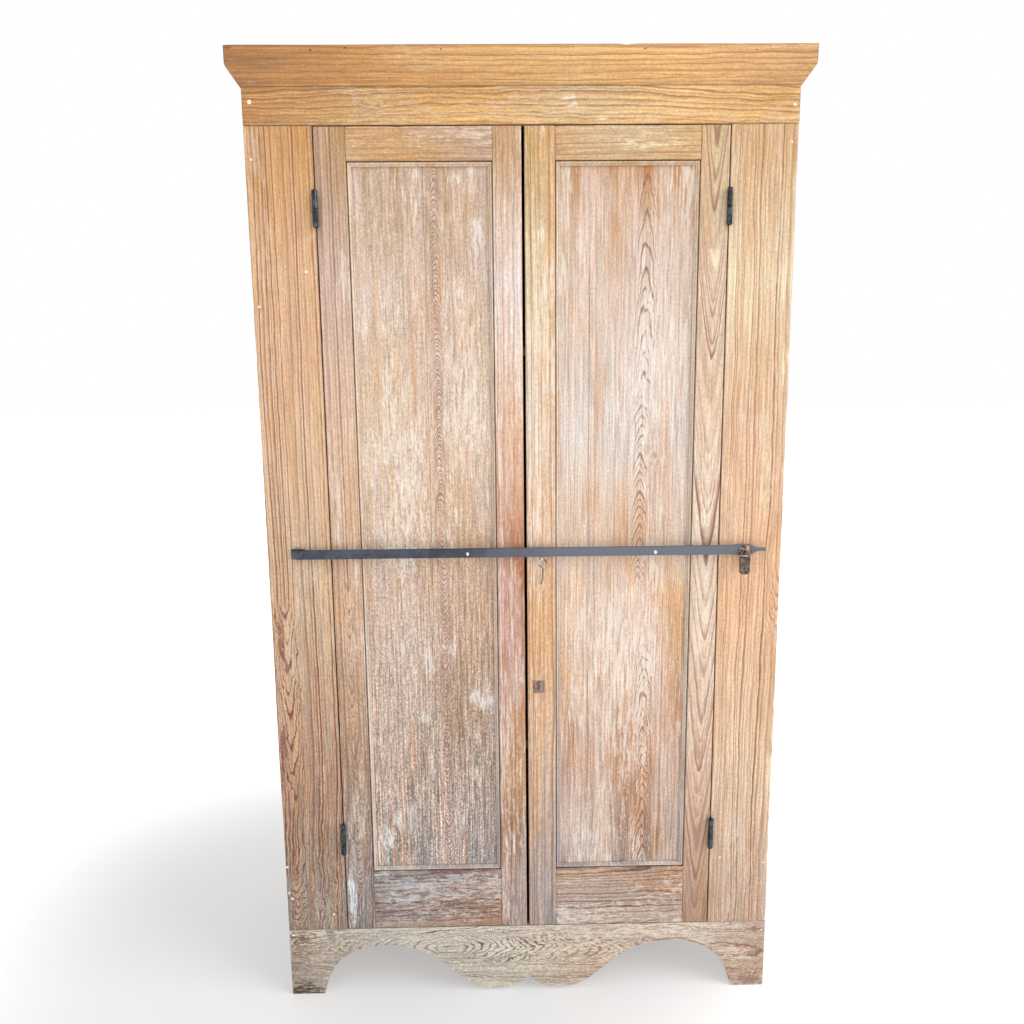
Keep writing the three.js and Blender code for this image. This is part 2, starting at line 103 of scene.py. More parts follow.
def keep(piece, body, slot, *nodes):
    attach(piece, body)
    if nodes:
        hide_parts(*nodes)
    return piece


def newObject(name, data):
    made = bpy.data.objects.new(name, data)
    bpy.context.scene.collection.objects.link(made)
    return made


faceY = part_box("face_stile_left")[0][1]
halfBody = -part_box("face_stile_left")[0][0]


print("camera")

view = {
    "place": (-0.0561, -2.0101, 1.4711),
    "lens": 28.125,        # on a 36 mm wide sensor
    "down": 8.85,          # degrees below level
    "turn": -0.85,
    "roll": -0.55,
}


def makeCamera():
    down, turn, roll = (math.radians(view[k]) for k in ("down", "turn", "roll"))
    level = Vector((math.cos(turn), math.sin(turn), 0))
    ahead = Vector((-math.sin(turn) * math.cos(down), math.cos(turn) * math.cos(down), -math.sin(down)))
    upright = level.cross(ahead)
    right = level * math.cos(roll) + upright * math.sin(roll)
    up = upright * math.cos(roll) - level * math.sin(roll)
    data = bpy.data.cameras.new("camera")
    data.lens = view["lens"]
    data.sensor_width = 36
    data.clip_start = 0.05
    camera = newObject("camera", data)
    facingFront = Matrix((right, up, -ahead)).transposed().to_4x4()
    camera.matrix_world = Matrix.Translation(view["place"]) @ facingFront
    bpy.context.scene.camera = camera


makeCamera()


finishDepth = 0.76         # the colours below are as they look in full light; the wood itself is darker
# Reclaimed pine, stripped and waxed: soft early wood, darker late wood lines, fibres that run with
# the board, greyish paint left in the pores, and dirt with painted shade in the joints. Lengths here are
# mm.
plainPine = {
    "order": "xyz",            # which axes run across, into and along the board
    "heart": (0, 60),          # the log's middle: across the board, and behind its face
    "start": 1000,             # height along the board where the heart is that deep
    "slope": 0.0,              # how fast the heart leaves the face, per length
    "taper": 0.0,              # rings met per length: above 0 their tips point down, below 0 up
    "taperFrom": 4000,         # the tips show only below this height
    "squeeze": 1.0,            # below 1 the figure is narrow at the heart and calm beside it
    "ringGap": 7.0,            # growth ring spacing
    "ringDark": 0.9,
    "ringHex": "85502f",
    "figure": 60,              # half the width of the bold figure at the heart
    "besideFigure": 1.0,       # how bold the rings are beside it
    "wander": 12,              # slow bends of the rings
    "ripple": 1.2,             # small waves of the rings
    "fibre": 0.3,
    "grit": 0.3,               # short dashes and pores
    "drawn": 1.5,              # how far fibres and specks are drawn out
    "footContrast": 1.0,       # how much stronger rings and dashes are at the foot
    "toneAxis": "z",
    "tones": [(0, "a88e78"), (1000, "d2ad90"), (2000, "d0a476")],
    "streakHex": "cf9457", "streak": 0.35,
    "washHex": "ddccc8", "wash": 0.5,
    "residueHex": "f3ece2", "residue": 0.4,
    "flecks": (0.0, 0.0),      # small light specks, at the foot and at the top
    # dirt and painted shade along the board's edges and ends
    "edgeDirtAndShadeHex": "6d4c38", "edgeDirtAndShade": 0.35,
    "knots": [],               # (across, along, radius)
    "spots": [],               # (across, along, radius, stretch along the board, hex, cover)
    "flames": [],              # (across, half width, spacing, steepness, from, to, darkness): stacked Vs
    "footRipple": 1.0,         # how much wavier the rings are at the foot
    "crest": None,             # (depth behind the face, hex, cover): paint left on what stands proud
    "roughness": 0.52,
    "bump": 0.5,
    "seed": 1,
}
# each pattern's size across and along the board in mm, its detail and its roughness
grainSizes = {
    "bend": (110, 620, 2.0, 0.55),       # slow bends of the rings
    "ripple": (26, 70, 3.0, 0.55),       # small waves of the rings
    "fibre": (3.2, 60, 3.0, 0.7),        # silky lengthwise streaks
    "band": (26, 640, 3.0, 0.7),         # long stripes of warmer wood
    "patch": (120, 420, 5.0, 0.62),      # areas with more or less old paint
    "speck": (5.5, 30, 5.0, 0.75),       # paint in the pores
    "grit": (4.2, 6, 2.0, 0.8),          # short dashes
    "fleck": (4.2, 10, 3.0, 0.6),        # small short specks
    "ragged": (5, 14, 3.0, 0.65),        # the edges of spots
    "blotchy": (12, 30, 4.0, 0.75),
}


def spotMask(add, place, ragged, across, along, radius, stretch):
    # 1 inside an oval spot with a ragged edge, 0 outside
    offset = add("VectorMath", "SUBTRACT", place, (across * mm, 0, along * mm))
    scaled = add("VectorMath", "MULTIPLY", offset, (1000 / radius, 0, 1000 / (radius * stretch)))
    far = add("VectorMath", "LENGTH", scaled)
    rough = add("Math", "MULTIPLY_ADD", ragged, 2.4, -1.2)
    edge = add("Math", "ADD", far, rough)
    return add("MapRange", "SMOOTHSTEP", edge, 1.15, 0.6)


def growthRings(add, look, grain, place, across, along, height):
    # the rings as distance from the log's heart; returns how dark the late wood is, and how far to the side
    bends = add("SeparateColor", None, grain["bend"].outputs["Color"])
    wander = look["wander"] * 2 * mm
    side = add("Math", "MULTIPLY_ADD", bends.outputs[0], wander, -look["heart"][0] * mm - wander / 2)
    side = add("Math", "ADD", across, side)
    side = add("Math", "ABSOLUTE", side)
    side = add("Math", "POWER", side, look["squeeze"])
    side = add("Math", "MULTIPLY", side, 0.1 ** (1 - look["squeeze"]))
    deep = add("Math", "MULTIPLY_ADD", along, look["slope"],
               look["heart"][1] * mm - look["slope"] * look["start"] * mm - wander / 2)
    deep = add("Math", "MULTIPLY_ADD", bends.outputs[1], wander, deep)
    distance = add("CombineXYZ", None, side, deep)
    distance = add("VectorMath", "LENGTH", distance)
    below = add("Math", "SUBTRACT", look["taperFrom"] * mm, along)
    below = add("Math", "SMOOTH_MAX", below, 0.0, 0.2)
    distance = add("Math", "MULTIPLY_ADD", below, look["taper"], distance)
    ripple = look["ripple"] * 4 * mm
    waves = add("MapRange", "SMOOTHSTEP", height, 0.0, 0.22, ripple * look["footRipple"], ripple)
    distance = add("Math", "MULTIPLY_ADD", grain["ripple"], waves, distance)
    for knotAcross, knotAlong, radius in look["knots"]:
        swell = spotMask(add, place, grain["ripple"], knotAcross, knotAlong, radius * 3.2, 2.4)
        distance = add("Math", "MULTIPLY_ADD", swell, radius * 2.2 * mm, distance)
    count = add("Math", "MULTIPLY", distance, 1000 / look["ringGap"])
    slow = add("TexNoise", "1D", count, 0.37)
    count = add("Math", "MULTIPLY_ADD", slow, 2.4, count)
    phase = add("Math", "FRACT", count)
    number = add("Math", "FLOOR", count)
    strength = add("TexWhiteNoise", "1D", number)
    strength = add("MapRange", None, strength, 0.0, 1.0, 0.2, 1.15)
    # late wood darkens slowly and stops sharply
    line = add("ValToRGB", None, phase,
               stops=greys((0.0, 0.5), (0.07, 0.0), (0.45, 0.02), (0.7, 0.5), (0.86, 1.0), (1.0, 0.8)))
    return add("Math", "MULTIPLY", line, strength), side


def flame(add, shape, across, along, ripple, ringed):
    # a band where the board was cut along the tips of the rings, which show as stacked Vs
    middle, half, spacing, steep, low, high, darkness = shape
    side = add("Math", "SUBTRACT", across, middle * mm)
    side = add("Math", "MULTIPLY_ADD", ripple, half * mm, side)
    side = add("Math", "ADD", side, -half * 0.5 * mm)
    side = add("Math", "ABSOLUTE", side)
    bow = add("Math", "POWER", side, 1.7)
    rise = add("Math", "MULTIPLY_ADD", bow, -steep / (half * mm) ** 0.7, along)
    rise = add("Math", "MULTIPLY_ADD", ripple, min(spacing, 13) * 2.4 * mm, rise)
    count = add("Math", "MULTIPLY", rise, 1000 / spacing)
    slow = add("TexNoise", "1D", count, 0.31)
    count = add("Math", "MULTIPLY_ADD", slow, 2.0, count)
    phase = add("Math", "FRACT", count)
    clear = 0.78 - 2.4 / spacing                          # close lines look wider
    line = add("ValToRGB", None, phase,
               stops=greys((0.0, 0.3), (0.06, 0.0), (clear, 0.0), (clear + 0.14, 0.9), (0.97, 0.8)))
    band = add("MapRange", "SMOOTHSTEP", side, half * mm, half * 0.6 * mm)
    for end, begin in ((low, low + 60), (high, high - 60)):
        fade = add("MapRange", "SMOOTHSTEP", along, end * mm, begin * mm)
        band = add("Math", "MULTIPLY", band, fade)
    line = add("Math", "MULTIPLY", line, darkness)
    return add("Mix", "FLOAT", band, ringed, line)


def pine(name, board, low, high):
    # low and high are the board's corners; they place the dirt and painted shade along its edges
    look = {**plainPine, **board}
    material, add = newMaterial(name)
    spot = add("TexCoord").outputs["Object"]
    axes = add("SeparateXYZ", None, spot)
    across, into, along = (axes.outputs["xyz".index(letter)] for letter in look["order"])
    place = add("CombineXYZ", None, across, into, along)
    seed = look["seed"]
    own = add("VectorMath", "ADD", place, (seed * 3.17, seed * 1.31, seed * 7.73))
    grain = {}
    for kind, (wide, long, detail, rough) in grainSizes.items():
        long *= look["drawn"] if kind in ("fibre", "speck") else 1
        drawn = add("VectorMath", "MULTIPLY", own, (1000 / wide, 1000 / wide, 1000 / long))
        grain[kind] = add("TexNoise", None, drawn, 1.0, detail, rough)
    first, last = look["tones"][0][0], look["tones"][-1][0]
    height = add("MapRange", None, axes.outputs["xyz".index(look["toneAxis"])], first * mm, last * mm)
    ring, side = growthRings(add, look, grain, place, across, along, height)

    # base colour by height, darker towards the bottom, and on the left-hand boards darker overall: painted
    # shade for light from the right; then long warm stripes, washed-out patches, fibres and dashes
    stops = [((at - first) / (last - first), hexToLinear(code)) for at, code in look["tones"]]
    colour = add("ValToRGB", None, height, stops=stops)
    streaks = add("MapRange", "SMOOTHSTEP", grain["band"], 0.46, 0.62, 0.0, look["streak"])
    colour = add("Mix", "RGBA", streaks, colour, look["streakHex"])
    washed = add("Math", "MULTIPLY_ADD", grain["band"], 0.5, grain["patch"])
    washed = add("Math", "MULTIPLY_ADD", grain["speck"], 0.3, washed)
    washed = add("MapRange", "SMOOTHSTEP", washed, 0.74, 1.02, 0.0, look["wash"])
    colour = add("Mix", "RGBA", washed, colour, look["washHex"])
    foot = add("MapRange", None, height, 0.1, 0.6, look["footContrast"], 1.0)
    for kind, amount in (("fibre", look["fibre"]), ("grit", look["grit"])):
        shade = add("MapRange", None, grain[kind], 0.25, 0.75, -amount, amount * 0.8)
        shade = add("Math", "MULTIPLY_ADD", shade, foot, 1.0)
        colour = add("VectorMath", "SCALE", colour, shade)
    ringed = add("Math", "MULTIPLY", ring, look["ringDark"])
    calm = add("MapRange", "SMOOTHSTEP", side, look["figure"] * mm, look["figure"] * 1.6 * mm, 1.0,
               look["besideFigure"])
    ringed = add("Math", "MULTIPLY", ringed, calm)
    ringed = add("Math", "MULTIPLY", ringed, foot, clamp=True)
    for shape in look["flames"]:
        ringed = flame(add, shape, across, along, grain["ripple"], ringed)
    colour = add("Mix", "RGBA", ringed, colour, look["ringHex"])
    for knotAcross, knotAlong, radius in look["knots"]:
        core = spotMask(add, place, grain["ragged"], knotAcross, knotAlong, radius, 1.25)
        core = add("Math", "MULTIPLY", core, 0.55)
        colour = add("Mix", "RGBA", core, colour, "7d4e36")

    # paint left in the pores, thicker in some patches than in others, then specks and spots of it
    patches = add("SeparateColor", None, grain["patch"].outputs["Color"])
    region = add("MapRange", "SMOOTHSTEP", patches.outputs[1], 0.42, 0.66)
    residue = add("Math", "MULTIPLY_ADD", region, 0.16, grain["speck"])
    residue = add("MapRange", "SMOOTHSTEP", residue, 0.6, 0.74, 0.0, look["residue"])
    colour = add("Mix", "RGBA", residue, colour, look["residueHex"])
    flecks = add("Math", "MULTIPLY_ADD", region, 0.1, grain["fleck"])
    flecks = add("MapRange", "SMOOTHSTEP", flecks, 0.62, 0.74)
    fleckAmount = add("MapRange", None, height, 0.0, 1.0, look["flecks"][0], look["flecks"][1])
    flecks = add("Math", "MULTIPLY", flecks, fleckAmount)
    colour = add("Mix", "RGBA", flecks, colour, look["residueHex"])
    worn = add("MapRange", "SMOOTHSTEP", grain["speck"], 0.42, 0.56)
    outside = add("MapRange", None, into, facing(14), facing(8))
    worn = add("Math", "MULTIPLY", worn, outside)
    for spotAcross, spotAlong, radius, stretch, code, cover in look["spots"]:
        mask = spotMask(add, place, grain["blotchy"], spotAcross, spotAlong, radius, stretch)
        mask = add("Math", "MULTIPLY", mask, worn)
        mask = add("Math", "MULTIPLY", mask, cover)
        colour = add("Mix", "RGBA", mask, colour, code)
    if look["crest"]:
        depth, code, cover = look["crest"]
        proud = add("Math", "MULTIPLY_ADD", grain["speck"], 1.6 * mm, into)
        proud = add("MapRange", "SMOOTHSTEP", proud, facing(depth) + 1.3 * mm, facing(depth), 0.0, cover)
        colour = add("Mix", "RGBA", proud, colour, code)

    # dirt and painted shade along the board's edges and ends, where boards meet
    ends = []
    for letter, socket in zip((look["order"][0], look["order"][2]), (across, along)):
        index = "xyz".index(letter)
        middle = (low[index] + high[index]) / 2
        half = (high[index] - low[index]) / 2
        gap = add("Math", "SUBTRACT", socket, middle)
        gap = add("Math", "ABSOLUTE", gap)
        ends.append(add("Math", "SUBTRACT", half, gap))
    nearest = add("Math", "MINIMUM", ends[0], ends[1])
    nearest = add("Math", "MULTIPLY_ADD", grain["ripple"], 4 * mm, nearest)
    edgeDirtAndShade = add("MapRange", "SMOOTHSTEP", nearest, 5 * mm, 2.2 * mm, 0.0, look["edgeDirtAndShade"])
    colour = add("Mix", "RGBA", edgeDirtAndShade, colour, look["edgeDirtAndShadeHex"])
    colour = add("VectorMath", "SCALE", colour, finishDepth)

    # the late wood stands a little proud of the softer wood, and paint fills it
    relief = add("Math", "MULTIPLY_ADD", ring, 0.5, grain["fibre"])
    relief = add("Math", "MULTIPLY_ADD", grain["ragged"], 0.5, relief)
    bump = add("Bump", Height=relief, Strength=look["bump"], Distance=0.7 * mm)
    gloss = add("MapRange", None, washed, 0.0, 1.0, look["roughness"], look["roughness"] + 0.25)
    shader = add("BsdfPrincipled", Base_Color=colour, Roughness=gloss, Normal=bump, IOR=1.46,
                 Specular_IOR_Level=0.35)
    add("OutputMaterial", Surface=shader)
    return material


def meshObject(name, verts, faces, material):
    mesh = bpy.data.meshes.new(name)
    mesh.from_pydata([tuple(v) for v in verts], [], faces)
    return shaped(name, mesh, material)


def shaped(name, mesh, material):
    work = bmesh.new()
    work.from_mesh(mesh)
    bmesh.ops.remove_doubles(work, verts=work.verts, dist=1e-6)
    bmesh.ops.dissolve_degenerate(work, edges=work.edges, dist=1e-7)
    bmesh.ops.recalc_face_normals(work, faces=work.faces)
    return finished(name, work, mesh, material)


def finished(name, work, mesh, material):
    # the mesh, filled from work, as an object with its faces smooth and its edges sharp
    work.to_mesh(mesh)
    work.free()
    mesh.shade_smooth()
    mesh.set_sharp_from_angle(angle=math.radians(42))
    mesh.materials.append(material)
    return newObject(name, mesh)


def joined(name, parts):
    # several meshes as one piece
    work = bmesh.new()
    for part in parts:
        work.from_mesh(part.data)
    material = parts[0].data.materials[0]
    for part in parts:
        bpy.data.objects.remove(part)
    return finished(name, work, bpy.data.meshes.new(name), material)


def roundedOutline(corners, inset, arcSteps=3):
    # corners are (u, v, radius), anticlockwise; each becomes a soft corner with a flat beside it
    outline = []
    count = len(corners)
    for i, (u, v, radius) in enumerate(corners):
        here = Vector((u, v))
        before = Vector(corners[i - 1][:2])
        after = Vector(corners[(i + 1) % count][:2])
        shortest = min((here - before).length, (after - here).length)
        arriving = (here - before).normalized()
        leaving = (after - here).normalized()
        normals = Vector((-arriving.y, arriving.x)), Vector((-leaving.y, leaving.x))
        square = max(0.2, 1 + normals[0].dot(normals[1]))
        here = here + (normals[0] + normals[1]) * (inset / square)
        tangent = min(radius, 0.4 * shortest)
        flat = min(tangent + 1.2 * mm, 0.47 * shortest)
        outline.append(here - arriving * flat)
        for step in range(arcSteps + 1):
            t = step / arcSteps
            outline.append(here - arriving * (tangent * (1 - t) ** 2) + leaving * (tangent * t ** 2))
        outline.append(here + leaving * flat)
    return outline


def loft(name, section, order, start, end, material, seed,
         worn=1.0, mitre=(0, 0), endRound=1.2 * mm, step=18 * mm, sag=0.25 * mm):
    # A board: its section is (u, v, radius) corners in the first two axes of order, pushed along the third.
    # Its edges are worn unevenly, and mitre moves each end by that much for each u.
    area = sum(a[0] * b[1] - b[0] * a[1] for a, b in zip(section, section[1:] + section[:1]))
    section = section if area > 0 else section[::-1]
    length = end - start
    stations = [0.0, 0.3 * endRound, endRound]
    insets = [endRound, 0.3 * endRound, 0.0]
    if mitre != (0, 0):
        stations, insets = [0.0], [0.0]
    inner = max(1, round((length - 2 * stations[-1]) / step))
    firstFlat = stations[-1]
    flats = [firstFlat + (length - 2 * firstFlat) * i / inner for i in range(1, inner)]
    places = stations + flats + [length - s for s in reversed(stations)]
    shrink = insets + [0.0] * len(flats) + insets[::-1]
    verts = []
    for distance, inset in zip(places, shrink):
        wear = []
        for j, (u, v, radius) in enumerate(section):
            slow = noise.noise(Vector((seed * 5.3 + j * 9.1, distance * 5.5, 0.5)))
            chip = noise.noise(Vector((seed * 2.9 + j * 4.7, distance * 38, 7.5)))
            chip = max(0.0, chip - 0.28) * 5
            wear.append((u, v, radius * (1 + worn * (0.9 * slow + chip))))
        hollow = sag * (0.6 + 0.4 * noise.noise(Vector((seed * 1.7, distance * 3.0, 2.5))))
        share = distance / length
        for point in roundedOutline(wear, inset + hollow):
            along = start + distance + point.x * (mitre[0] * (1 - share) + mitre[1] * share)
            spot = [0.0, 0.0, 0.0]
            for letter, value in zip(order, (point.x, point.y, along)):
                spot["xyz".index(letter)] = value
            verts.append(spot)
    around = len(verts) // len(places)
    faces = []
    for ring in range(len(places) - 1):
        for k in range(around):
            a, b = ring * around + k, ring * around + (k + 1) % around
            faces.append((a, b, b + around, a + around))
    faces.append(tuple(range(around))[::-1])
    faces.append(tuple(range(len(verts) - around, len(verts))))
    return meshObject(name, verts, faces, material)


def rectangle(u0, u1, v0, v1, radii):
    # radii start at (u0, v0) and go round anticlockwise
    corners = ((u0, v0), (u1, v0), (u1, v1), (u0, v1))
    return [(u, v, radius * mm) for (u, v), radius in zip(corners, radii)]


def bezier(first, control1, control2, last, steps=12):
    points = []
    for i in range(1, steps + 1):
        t = i / steps
        k = ((1 - t) ** 3, 3 * t * (1 - t) ** 2, 3 * t ** 2 * (1 - t), t ** 3)
        points.append(tuple(sum(w * p[a] for w, p in zip(k, (first, control1, control2, last)))
                            for a in (0, 1)))
    return points


def arc(centre, radius, fromDegrees, toDegrees, steps=10):
    turns = [math.radians(fromDegrees + (toDegrees - fromDegrees) * i / steps) for i in range(steps + 1)]
    return [(centre[0] + radius * math.cos(t), centre[1] + radius * math.sin(t)) for t in turns]


def curveMesh(name, data):
    curve = newObject(name + "_curve", data)
    shown = curve.evaluated_get(bpy.context.evaluated_depsgraph_get())
    mesh = bpy.data.meshes.new_from_object(shown)
    bpy.data.objects.remove(curve)
    mesh.name = name
    mesh.materials.clear()
    return mesh


def plate(name, outlines, front, back, edge, material, across="x"):
    # A flat piece with soft edges. Outlines are in mm, (across, height); all but the first are holes.
    thick = back - front
    data = bpy.data.curves.new(name, "CURVE")
    data.dimensions = "2D"
    data.fill_mode = "BOTH"
    data.extrude = thick / 2 - edge
    data.bevel_depth = edge
    data.bevel_resolution = 2
    data.offset = -edge
    for outline in outlines:
        line = data.splines.new("POLY")
        line.points.add(len(outline) - 1)
        for point, (u, v) in zip(line.points, outline):
            point.co = (u * mm, v * mm, 0, 1)
        line.use_cyclic_u = True
    mesh = curveMesh(name, data)
    middle = (front + back) / 2
    for vert in mesh.vertices:
        u, v, w = vert.co
        vert.co = (u, middle - w, v) if across == "x" else (middle + w, u, v)
    return shaped(name, mesh, material)


def rod(name, points, radius, material, taper=3):
    # a round bar through the points, in metres, with rounded ends
    data = bpy.data.curves.new(name, "CURVE")
    data.dimensions = "3D"
    data.bevel_depth = radius
    data.bevel_resolution = 4
    data.use_fill_caps = True
    line = data.splines.new("POLY")
    ends = [(Vector(points[0]), Vector(points[1])), (Vector(points[-1]), Vector(points[-2]))]
    caps = []
    for tip, inner in ends:
        ahead = (inner - tip).normalized()
        turns = [math.pi / 2 * i / taper for i in range(taper)]
        caps.append([(tip + ahead * radius * (1 - math.cos(t)), max(0.08, math.sin(t))) for t in turns])
    middle = [(Vector(p), 1.0) for p in points[1:-1]]
    path = caps[0] + middle + caps[1][::-1]
    line.points.add(len(path) - 1)
    for point, (place, thickness) in zip(line.points, path):
        point.co = (*place, 1)
        point.radius = thickness
    return shaped(name, curveMesh(name, data), material)


def turned(name, profile, centre, axis, material, sides=32):
    # a lathe shape; the profile is (radius, height) in mm from one end of the axis to the other
    verts, faces = [], []
    for radius, height in profile:
        for k in range(sides):
            angle = 2 * math.pi * k / sides
            u, v, w = radius * mm * math.cos(angle), radius * mm * math.sin(angle), height * mm
            offset = (u, v, w) if axis == "z" else (u, -w, v)
            verts.append([c + o for c, o in zip(centre, offset)])
    for ring in range(len(profile) - 1):
        for k in range(sides):
            a, b = ring * sides + k, ring * sides + (k + 1) % sides
            faces.append((a, b, b + sides, a + sides))
    faces.append(tuple(range(sides)))
    faces.append(tuple(range(len(verts) - sides, len(verts))))
    return meshObject(name, verts, faces, material)


print("front frame")

# The left-hand boards' tones are darker than the right-hand ones: painted shade, as light falls from the
# right.
frontBoards = {
    "face_stile_left": {
        "seed": 3, "slot": "frame_pine", "corners": (3.2, 1.4, 1.0, 1.0),
        "heart": (-640, 30), "ringGap": 6.6, "ringHex": "7a4630", "figure": 200, "besideFigure": 0.75,
        "wander": 9, "footRipple": 7.0, "footContrast": 1.8, "grit": 0.26, "streak": 0.45, "wash": 0.12,
        "residue": 0.2, "flecks": (0.25, 0.0),
        "flames": [(-549, 34, 66, 9.0, 470, 1010, 1.3), (-556, 52, 17, 3.4, 150, 345, 0.95)],
        "spots": [(-562, 1240, 5, 22, "8a4f3a", 0.5), (-561, 905, 9, 11, "7c4433", 0.8),
                  (-570, 600, 12, 9, "7c4433", 0.8), (-455, 1250, 11, 60, "dbbb90", 0.45)],
        "tones": [(240, "9b9285"), (600, "b5947b"), (990, "ccb192"), (1360, "ddb998"), (1700, "dbb188"),
                  (1980, "cc9a60")],
    },
    "face_stile_right": {
        "seed": 4, "slot": "frame_pine", "corners": (1.4, 3.2, 1.0, 1.0),
        "heart": (700, 60), "slope": 0.02, "ringDark": 0.85, "ringHex": "8a5836", "wander": 18,
        "ripple": 2.0, "footContrast": 1.3, "grit": 0.26, "streak": 0.4, "wash": 0.1, "residue": 0.25,
        "flecks": (0.3, 0.0),
        "flames": [(578, 30, 26, 3.0, 880, 1080, 0.7)],
        "spots": [(540, 1250, 14, 6, "f3dfb8", 0.45), (572, 1520, 10, 5, "f6e6c4", 0.5),
                  (575, 560, 9, 9, "f1ddb8", 0.55), (577, 625, 5, 5, "6f4d38", 0.7)],
        "tones": [(240, "caaf99"), (600, "e7caab"), (990, "ecbe96"), (1360, "e1ba97"), (1700, "eedcba"),
                  (1980, "d3ab7c")],
    },
    "frieze_board": {
        "seed": 5, "slot": "honey_pine", "corners": (1.2, 1.2, 1.0, 1.0), "order": "zyx",
        "toneAxis": "x", "heart": (1960, 30), "start": -200, "slope": 0.03, "ringGap": 8.0,
        "ringDark": 0.7, "ringHex": "7c4a29", "wander": 22, "ripple": 3.0, "drawn": 1.0,
        "streakHex": "d89a52", "streak": 0.5, "wash": 0.06, "residue": 0.2,
        "knots": [(2052, -300, 4), (2034, -340, 3)],
        "spots": [(2058, 99, 12, 1.6, "efe3dc", 0.85), (2025, 165, 6, 2.0, "f3ead8", 0.7),
                  (2008, -378, 5, 5.5, "8a5247", 0.6), (2040, -330, 14, 1.6, "a08a86", 0.4),
                  (2020, -120, 9, 4, "f0cf92", 0.4)],
        "tones": [(-560, "b38046"), (-330, "cea46c"), (-90, "dda95f"), (110, "d9b989"), (330, "efc283"),
                  (560, "daaa6a")],
    },
}


def board(node, look, finish="waxed_", kind="_board"):
    # one board that stands for its node, as long as the node's box
    low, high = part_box(node)
    u, v, s = ("xyz".index(letter) for letter in look.get("order", "xyz"))
    material = pine(finish + node, look, low, high)
    section = rectangle(low[u], high[u], low[v], high[v], look["corners"])
    piece = loft(node + kind, section, look.get("order", "xyz"), low[s], high[s], material, look["seed"])
    keep(piece, "case", look["slot"], node)


for node, look in frontBoards.items():
    board(node, look)

apron = {
    "seed": 6, "order": "zyx", "toneAxis": "x", "heart": (100, 6), "start": -120, "slope": 0.09,
    "squeeze": 0.8, "taper": 0.05, "ringGap": 8.0, "ringHex": "6e4234", "wander": 22, "ripple": 5.0,
    "grit": 0.45, "drawn": 0.8, "streakHex": "b9a583", "streak": 0.5, "washHex": "cfc6ba", "wash": 0.55,
    "residueHex": "efe8d2", "residue": 0.6, "flecks": (0.6, 0.5), "edgeDirtAndShadeHex": "d9cfbf", "edgeDirtAndShade": 0.3,
    "roughness": 0.7, "bump": 0.7,
    "flames": [(118, 52, 19, -2.6, -190, 120, 1.0), (105, 40, 24, -3.0, 90, 330, 0.8),
               (120, 40, 26, 2.8, -540, -190, 0.7)],
    "spots": [(150, -112, 1.6, 1.0, "f0ebe0", 0.6), (14, -545, 24, 1.5, "3c322b", 0.9),
              (16, 545, 20, 1.4, "6b5a48", 0.6)],
    "tones": [(-560, "74584a"), (-300, "d4d0c5"), (-60, "e8e3d3"), (180, "ccac97"), (400, "ddc0ad"),
              (560, "b99785")],
}


def apronOutline():
    # a foot, an ogee arch and a lobe on each half, with a nick between the lobes
    foot, flare, half, height = 502, 5, halfBody / mm, 173
    peak, ogee, lobe, nick = (343, 128), (200, 72), (84, 7), 48
    right = [(0, nick)]
    right += bezier(right[-1], (10, 18), (44, lobe[1]), lobe)
    right += bezier(lobe, (136, lobe[1]), (162, 40), ogee)
    right += bezier(ogee, (240, 106), (288, peak[1]), peak)
    right += bezier(peak, (432, peak[1]), (foot - 20, 88), (foot - flare, 16))
    right += [(foot - 1, 3), (foot, 0.2), (half - 2, 0.2), (half, 3)]
    return right + [(half, height), (-half, height)] + [(-u, v) for u, v in reversed(right[1:])]


def makeApron():
    low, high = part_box("base_apron")
    material = pine("weathered_apron", apron, low, high)
    piece = plate("apron_board", [apronOutline()], low[1], high[1], 1.6 * mm, material)
    keep(piece, "case", "apron_pine", "base_apron")


makeApron()

corniceLook = {
    "seed": 7, "order": "zyx", "toneAxis": "x", "heart": (2190, 25), "start": 0, "slope": 0.012,
    "ringGap": 10, "ringDark": 0.65, "ringHex": "8a5630", "wander": 14, "ripple": 1.6, "grit": 0.25,
    "drawn": 1.2, "streakHex": "d69a55", "streak": 0.5, "wash": 0.04, "residueHex": "f3dcb0",
    "residue": 0.22, "edgeDirtAndShade": 0.5,
    "spots": [(2156, -598, 7, 1.8, "6d4a30", 0.7), (2125, -560, 26, 3, "9a6f4c", 0.35)],
    "tones": [(-600, "926537"), (-330, "c58e4d"), (-90, "daab6f"), (110, "e2b677"), (330, "ebb878"),
              (600, "d3a46e")],
}


def makeCornice():
    # bevel, small round and upright face; u is the distance out from the case
    low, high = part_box("cornice_front")
    out = faceY - low[1]
    base, top = low[2], high[2]
    seam = 0.3 * mm
    section = [(seam, base, 0.4 * mm), (2 * mm, base, 0.8 * mm), (out - 5 * mm, base + 26 * mm, 1.5 * mm),
               (out - 1.6 * mm, base + 31 * mm, 3 * mm), (out, base + 38 * mm, 4 * mm),
               (out, top, 2.6 * mm), (seam, top, 0.6 * mm)]
    material = pine("waxed_cornice", corniceLook, low, high)
    front = loft("front_moulding", section, "yzx", -halfBody, halfBody, material, 11, mitre=(-1, 1))
    for vert in front.data.vertices:
        vert.co.y = faceY - vert.co.y
    front.data.flip_normals()
    keep(front, "case", "honey_pine", "cornice_front")
    for name, side in (("left", -1), ("right", 1)):
        node = "cornice_return_" + name
        low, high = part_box(node)
        look = {**corniceLook, "order": "zxy", "seed": 8 + side, "heart": (2190, side * 900), "spots": []}
        material = pine("waxed_" + node, look, low, high)
        piece = loft(name + "_return_moulding", section, "xzy", faceY, high[1], material, 14 + side,
                     mitre=(-1, 0))
        for vert in piece.data.vertices:
            vert.co.x = side * (halfBody + vert.co.x)
        if side < 0:
            piece.data.flip_normals()
        keep(piece, "case", "honey_pine", node)


makeCornice()


print("case")

